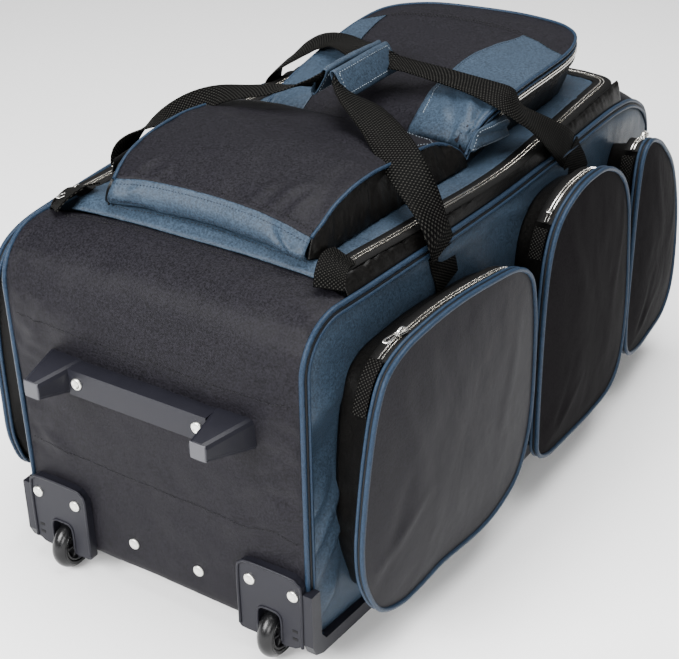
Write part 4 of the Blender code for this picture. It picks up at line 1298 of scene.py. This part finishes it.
# ---------------------------------------------------------------- carry straps
STRAP_ROUTES = {
    "right": ((0.2262, 0.2430, 0.433), (0.2225, 0.2350, 0.460), (0.2020, 0.242, 0.487),
              (0.1670, 0.260, 0.5130), (0.1170, 0.300, 0.5270), (0.0770, 0.328, 0.5345),
              (0.0300, 0.356, 0.5415), (0.0150, 0.374, 0.5440), (0.0140, 0.424, 0.5440),
              (0.0140, 0.466, 0.5440), (0.0320, 0.4750, 0.5420), (0.0920, 0.4780, 0.5365),
              (0.1500, 0.4690, 0.5345), (0.1840, 0.4650, 0.5290), (0.2010, 0.4730, 0.5120),
              (0.2130, 0.4910, 0.4930), (0.2230, 0.5170, 0.4710), (0.2280, 0.5450, 0.4490),
              (0.2275, 0.5660, 0.4330)),
    "left": ((0.2262, 0.2430, 0.433), (0.2225, 0.2400, 0.460), (0.2020, 0.2600, 0.4830),
             (0.1720, 0.2960, 0.5010), (0.1400, 0.3230, 0.5160), (0.1000, 0.3380, 0.5240),
             (0.0600, 0.3460, 0.5320), (0.0300, 0.3570, 0.5405), (0.0150, 0.3740, 0.5440),
             (0.0140, 0.4240, 0.5440), (0.0140, 0.4740, 0.5440), (0.0340, 0.4990, 0.5410),
             (0.0700, 0.5280, 0.5320), (0.1020, 0.5480, 0.5260), (0.1300, 0.5510, 0.5210),
             (0.1560, 0.5490, 0.5080), (0.1860, 0.5460, 0.4850), (0.2120, 0.5520, 0.4620),
             (0.2275, 0.5660, 0.4330)),
}
STRAP_WIDTH = 0.047
STRAP_THICKNESS = 0.0022
GRIP_LEAN = math.radians(30)
GRIP_X = 0.0140
GRIP_Z = 0.5440


def strap_normal(share):
    """Out at the feet, up over the lid, leaning outwards at the grip."""
    edge = min(share, 1 - share)
    up_by = ramp(edge, 0.0, 0.20)
    lean = ramp(edge, 0.28, 0.44)
    tilt = math.radians(90) * up_by - (math.radians(90) - GRIP_LEAN) * lean
    turn = 0.55 * math.sin(math.pi * ramp(edge, 0.01, 0.30)) * (1.0 if share < 0.5 else 0.5)
    return Vector((math.cos(tilt), -turn, math.sin(tilt))).normalized()


def strap_section(share):
    edge = min(share, 1 - share)
    half = STRAP_WIDTH / 2 * (1 - 0.32 * ramp(edge, 0.33, 0.42))
    thick = STRAP_THICKNESS / 2
    return [(-half, 0), (-half * 0.98, -thick), (half * 0.98, -thick), (half, 0),
            (half * 0.98, thick), (half * 0.5, thick + 0.0004), (-half * 0.5, thick + 0.0004),
            (-half * 0.98, thick)]


def mirrored(v, side):
    return Vector((side * v.x, v.y, v.z))


def flatten_with_lid(piece):
    """Gives the piece its own copy of its mesh data."""
    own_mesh(piece)


for side_name, side in SIDES.items():
    path = spline(STRAP_ROUTES[side_name], 150)
    normals = [strap_normal(i / 149) for i in range(150)]
    strap = Piece()
    strap.sweep([mirrored(place(*p), side) for p in path], strap_section,
                [mirrored(n, side) for n in normals])
    made = strap.make(f"carry_webbing_{side_name}", STRAP, f"carry_loop_{side_name}",
                      "black_webbing", (f"carry_strap_{side_name}",))
    flatten_with_lid(made)

    # Padded grip sleeve, open at both ends, its edge stitched
    outward = Vector((side * math.cos(GRIP_LEAN), 0, math.sin(GRIP_LEAN)))
    upward = Vector((-side * math.sin(GRIP_LEAN), 0, math.cos(GRIP_LEAN)))
    rows = []
    for i in range(33):
        t = i / 32
        along = 0.3635 + 0.125 * t
        swell = 0.0008 * math.sin(math.pi * t)
        centre = place(side * (GRIP_X + 0.0010 * math.sin(t * 5)), along,
                       GRIP_Z + 0.0012 * math.sin(math.pi * t))
        row = []
        for k in range(28):
            a = 2 * math.pi * k / 28
            wide = math.copysign(abs(math.cos(a)) ** 0.45, math.cos(a)) * 0.0200
            thick = math.copysign(abs(math.sin(a)) ** 0.75, math.sin(a)) * (0.0048 + swell)
            wave = 0.0006 * crumple((wide, along, thick), 60, seed=side * 2 + 7)
            row.append(centre + upward * wide + outward * (thick + wave))
        rows.append(row[::side])
    sleeve = Piece()
    sleeve.grid(rows, around=True)
    grip = sleeve.make(f"grip_{side_name}", BLUE, f"carry_loop_{side_name}", "blue_fabric",
                       (f"grip_wrap_{side_name}",), thickness=0.0014)
    flatten_with_lid(grip)
    tree = surface_of(grip)
    thread = Piece()
    corners = [(0.3675, -0.0155), (0.4845, -0.0155), (0.4845, 0.0160), (0.3675, 0.0160),
               (0.3675, -0.0155)]
    for facing in (1, -1):
        loop = [place(side * GRIP_X, a, GRIP_Z) + upward * w + outward * (facing * 0.02)
                for a, w in corners]
        thread.stitches(even(loop, 120), tree, pitch=0.0046, radius=0.0007)
    sewn = thread.make(f"grip_stitching_{side_name}", PALE_THREAD, f"carry_loop_{side_name}",
                       "blue_fabric", smooth=False)
    flatten_with_lid(sewn)

    feet = Piece()
    for above, below in ((0.2430, 0.2560), (0.5660, 0.5980)):
        foot = []
        for k in range(12):
            z = 0.434 - 0.048 * k / 11
            along = above + (below - above) * k / 11
            foot.append(side_point(side, along, z, 0.0045 + 0.0035 * ramp(z, 0.425, 0.40)))
        feet.sweep(foot, flat_section(STRAP_WIDTH, STRAP_THICKNESS), Vector((side, 0, 0)))
    feet.make(f"strap_feet_{side_name}", STRAP, "bag_body", "black_webbing",
              (f"strap_foot_near_{side_name}", f"strap_foot_far_{side_name}"), smooth=False)

# Tow handle on the far end
path = spline(((-0.080, 0.9085, 0.255), (-0.052, 0.9090, 0.255), (-0.030, 0.9280, 0.254),
               (0.0, 0.9295, 0.2535), (0.030, 0.9280, 0.254), (0.052, 0.9090, 0.255),
               (0.080, 0.9085, 0.255)), 60)
handle = Piece()
handle.sweep([place(*p) for p in path], flat_section(0.038, 0.0024), Vector((0, 1, 0)))
handle.make("tow_handle_webbing", STRAP, "bag_body", "black_webbing", ("tow_handle",),
            smooth=False)


# ---------------------------------------------------------------- moulded parts
def refinish(name, material):
    """A CAD node that keeps its shape and gets a better material."""
    shown = NODES[name]
    shown.data.materials.clear()
    shown.data.materials.append(material)
    return shown


for name in ("stand_bar", "wheel_housing_right", "wheel_housing_left", "base_rail_right",
             "base_rail_left", "skid_foot_right", "skid_foot_left"):
    edge = refinish(name, PLASTIC).modifiers.new("bevel", "BEVEL")
    edge.width = 0.0016
    edge.segments = 2
    edge.limit_method = "ANGLE"
    edge.angle_limit = math.radians(30)
refinish("base_board", BOARD)
refinish("wheel_axle_right", ZIP_METAL)
refinish("wheel_axle_left", ZIP_METAL)
refinish("bottom_panel", BLACK)

# Raised rims round the wheel housings and their wheel slots, small vents and stand-bar tips
rims, vents, tips = Piece(), Piece(), Piece()
face = -0.0102 - MID
for side in (1, -1):
    outer_rim = [(0.1125, 0.036), (0.1125, 0.112), (0.1165, 0.1245), (0.1285, 0.1293),
                 (0.1820, 0.1293), (0.1935, 0.1245), (0.1982, 0.1130), (0.1982, 0.036)]
    slot_rim = [(0.1378, 0.036), (0.1378, 0.0630), (0.1415, 0.0712), (0.1485, 0.0730),
                (0.1595, 0.0730), (0.1665, 0.0712), (0.1702, 0.0630), (0.1702, 0.036)]
    for points, radius in ((outer_rim, 0.0020), (slot_rim, 0.0016)):
        rims.cord([Vector((side * p.x, face, p.y)) for p in spline(points, 70)], radius)
    # The vents are near-black blocks on the housing face: painted shade for the vent openings.
    for height in (0.0560, 0.0450):
        vents.block(Vector((side * 0.1885, face + 0.0003, height)), Vector((1, 0, 0)),
                    Vector((0, 0, 1)), Vector((0, -1, 0)), (0.0080, 0.0042, 0.0010), 0.9)
    tips.block(Vector((side * 0.115, -0.0672 - MID, 0.305)), Vector((1, 0, 0)), Vector((0, 0, 1)),
               Vector((0, -1, 0)), (0.0210, 0.0210, 0.0016), 0.90)
rims.make("housing_rims", PLASTIC, "bag_body", "grey_plastic")
vents.make("housing_vents", DARK_THREAD_AND_SHADE, "bag_body", "grey_plastic", smooth=False, bevel=0.0003)
tips.make("stand_bar_tips", BAR_END, "bag_body", "grey_plastic", smooth=False, bevel=0.0004)

# Rivets: a rolled rim round a shallow dish
heads = Piece()
for name, shown in NODES.items():
    if "rivet" not in name:
        continue
    low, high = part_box(name)
    centre = Vector(((low.x + high.x) / 2, high.y, (low.z + high.z) / 2))
    reach = centre.y - low.y
    heads.lathe(centre, Vector((0, -1, 0)), (
        (0.0072, -0.0004), (0.0072, reach * 0.45), (0.0067, reach * 0.85), (0.0058, reach),
        (0.0050, reach * 0.92), (0.0044, reach * 0.62), (0.0024, reach * 0.55),
        (0.00001, reach * 0.55)), 28)
heads.make("rivet_heads", RIVET, "bag_body", "steel",
           tuple(n for n in NODES if "rivet" in n))

# Wheels
for side_name, side in SIDES.items():
    centre = Vector((side * 0.154, 0.005 - MID, 0.0335))
    axis = Vector((1, 0, 0))
    tyre = Piece()
    arc = [math.radians(a) for a in range(-78, 79, 12)]
    outer = [(0.0235 + 0.0100 * math.cos(a), 0.0108 * math.sin(a)) for a in arc]
    profile = [(0.0215, -0.0092)] + outer + [(0.0215, 0.0092)]
    tyre.lathe(centre, axis, profile[::-1], 48, closed=True)
    for share in (-1, 1):
        tyre.lathe(centre, axis, ((0.0268, share * 0.0103), (0.0262, share * 0.0112),
                                  (0.0256, share * 0.0103)), 48, closed=True)
    tyre.make(f"tyre_{side_name}", WHEEL_RUBBER, f"wheel_{side_name}", "wheel_rubber",
              (f"wheel_tyre_{side_name}",))
    hub = Piece()
    hub.lathe(centre, axis, ((0.0222, 0.0092), (0.0222, -0.0092), (0.0195, -0.0092),
                             (0.0180, -0.0070), (0.0180, 0.0070), (0.0195, 0.0092)), 40,
              closed=True)
    hub.lathe(centre, axis, ((0.0088, 0.0098), (0.0088, -0.0098), (0.0046, -0.0098),
                             (0.0046, 0.0098)), 28, closed=True)
    for k in range(6):
        a = 2 * math.pi * k / 6
        spoke = Vector((0, math.cos(a), math.sin(a)))
        hub.block(centre + spoke * 0.0134, Vector((1, 0, 0)), spoke,
                  Vector((1, 0, 0)).cross(spoke), (0.0130, 0.0104, 0.0034))
    hub.make(f"hub_{side_name}", WHEEL_HUB, f"wheel_{side_name}", "wheel_hub",
             (f"wheel_hub_{side_name}",), bevel=0.0004)


# ---------------------------------------------------------------- zip sliders and pulls
def both_halves(points):
    """A closed outline from its right half, as (across, forward)."""
    return points + [(-a, f) for a, f in points[::-1]]


SLIDER_PLATE = [(-0.0030, -0.0075), (0.0030, -0.0075), (0.0042, -0.0010), (0.0052, 0.0050),
                (0.0040, 0.0078), (0.0012, 0.0070), (-0.0012, 0.0070), (-0.0040, 0.0078),
                (-0.0052, 0.0050), (-0.0042, -0.0010)]
TAB_OUTLINE = [(0.0022, 0.0012), (0.0030, -0.0012), (0.0024, -0.0060), (0.0034, -0.0110),
               (0.0040, -0.0180), (0.0034, -0.0226), (0.0018, -0.0240)]
TAB_HOLE = [(0.0010, 0.0000), (0.0014, -0.0018), (0.0012, -0.0050), (0.0014, -0.0100),
            (0.0018, -0.0150), (0.0016, -0.0190), (0.0010, -0.0204)]


def slider_pieces(name):
    """A cast slider with a bridge, and its pull tab, each on its own CAD body."""
    joint = JOINTS[f"{name}_slide"]
    flip = JOINTS[f"{name}_pull_flip"]
    forward = Vector(joint["axis"]).normalized()
    swing = Vector(flip["axis"]).normalized()
    upward = forward.cross(swing).normalized()
    low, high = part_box(f"{name}_slider")
    centre = (low + high) / 2
    right = forward.cross(upward)
    body = Piece()
    for level in (-0.0015, 0.0009):
        rows = [[centre + right * a * grow + forward * f * grow + upward * (level + lift)
                 for a, f in SLIDER_PLATE]
                for lift, grow in ((-0.0006, 0.94), (0, 1.0), (0.0006, 0.92))]
        first = body.grid(rows, around=True)
        body.cap(first, len(SLIDER_PLATE), reverse=True)
        body.cap(first + 2 * len(SLIDER_PLATE), len(SLIDER_PLATE))
    body.block(centre + forward * 0.0045, right, forward, upward, (0.0018, 0.0034, 0.0030))
    arch = spline([(-0.0062, 0.0010), (-0.0050, 0.0034), (0.0, 0.0046), (0.0050, 0.0034),
                   (0.0064, 0.0010)], 14)
    body.sweep([centre + forward * p.x + upward * p.y for p in arch],
               flat_section(0.0026, 0.0012), right.cross(forward))
    body.make(f"{name}_slider_cast", ZIP_METAL, f"{name}_slider", "steel",
              (f"{name}_slider",), smooth=False, bevel=0.0003)
    hinge = Vector(flip["pos_m"])
    tab = Piece()
    start = hinge + upward * 0.0012
    outline, hole = both_halves(TAB_OUTLINE), both_halves(TAB_HOLE)
    rows = []
    for shape, level in ((outline, -0.0006), (outline, 0.0006), (hole, 0.0006), (hole, -0.0006)):
        rows.append([start + right * a + forward * f + upward * level for a, f in shape])
    tab.grid(rows, around=True, loop=True)
    tab.make(f"{name}_pull_tab", ZIP_METAL, f"{name}_pull", "steel", (f"{name}_pull",),
             smooth=False, bevel=0.0003)


for name in ("side_zip_wheel_end", "side_zip_middle", "side_zip_far", "side_zip_left",
             "top_zip_near", "top_zip_far", "main_zip"):
    slider_pieces(name)


# ---------------------------------------------------------------- floor, light, camera
floor = bpy.data.meshes.new("floor")
FLOOR_HALF = 9
corners = [(a * FLOOR_HALF, b * FLOOR_HALF, 0) for a, b in ((-1, -1), (1, -1), (1, 1), (-1, 1))]
floor.from_pydata(corners, [], [(0, 1, 2, 3)])
ground = bpy.data.objects.new("floor", floor)
bpy.context.scene.collection.objects.link(ground)
pale_floor, tree, principled = shader("pale_floor", 0.9, specular=0.1)
principled.inputs["Base Color"].default_value = (0.95, 0.95, 0.95, 1)
floor.materials.append(pale_floor)

world = bpy.data.worlds.new("studio")
bpy.context.scene.world = world
world.use_nodes = True
world.node_tree.nodes["Background"].inputs["Color"].default_value = (1, 1, 1, 1)
world.node_tree.nodes["Background"].inputs["Strength"].default_value = 0.36


def softbox(name, at, target, size, power):
    light = bpy.data.lights.new(name, "AREA")
    light.shape = "RECTANGLE"
    light.size, light.size_y = size
    light.energy = power
    made = bpy.data.objects.new(name, light)
    made.location = at
    made.rotation_mode = "QUATERNION"
    made.rotation_quaternion = (Vector(target) - Vector(at)).to_track_quat("-Z", "Y")
    bpy.context.scene.collection.objects.link(made)


softbox("key", (-0.7, -2.4, 1.7), (0, -0.3, 0.3), (1.4, 1.2), 185)
softbox("near_fill", (1.15, -1.75, 0.85), (0.25, -0.25, 0.2), (0.8, 0.8), 30)
softbox("top", (0.3, 0.2, 2.8), (0, 0.1, 0.4), (2.4, 2.0), 190)

LENS_MM = 77.98
EYE_AT = Vector((0.9216, -1.4659, 1.1586))
camera = bpy.data.cameras.new("camera")
camera.lens = LENS_MM
camera.sensor_width = 36
camera.clip_start, camera.clip_end = 0.05, 60
eye = bpy.data.objects.new("camera", camera)
right_axis = Vector((0.8420, 0.5395, -0.0134))
up_axis = Vector((-0.2569, 0.4226, 0.8692))
back_axis = right_axis.cross(up_axis).normalized()
up_axis = back_axis.cross(right_axis).normalized()
eye.matrix_world = Matrix([
    *zip(right_axis, up_axis, back_axis, EYE_AT),
    (0, 0, 0, 1)])
bpy.context.scene.collection.objects.link(eye)
bpy.context.scene.camera = eye
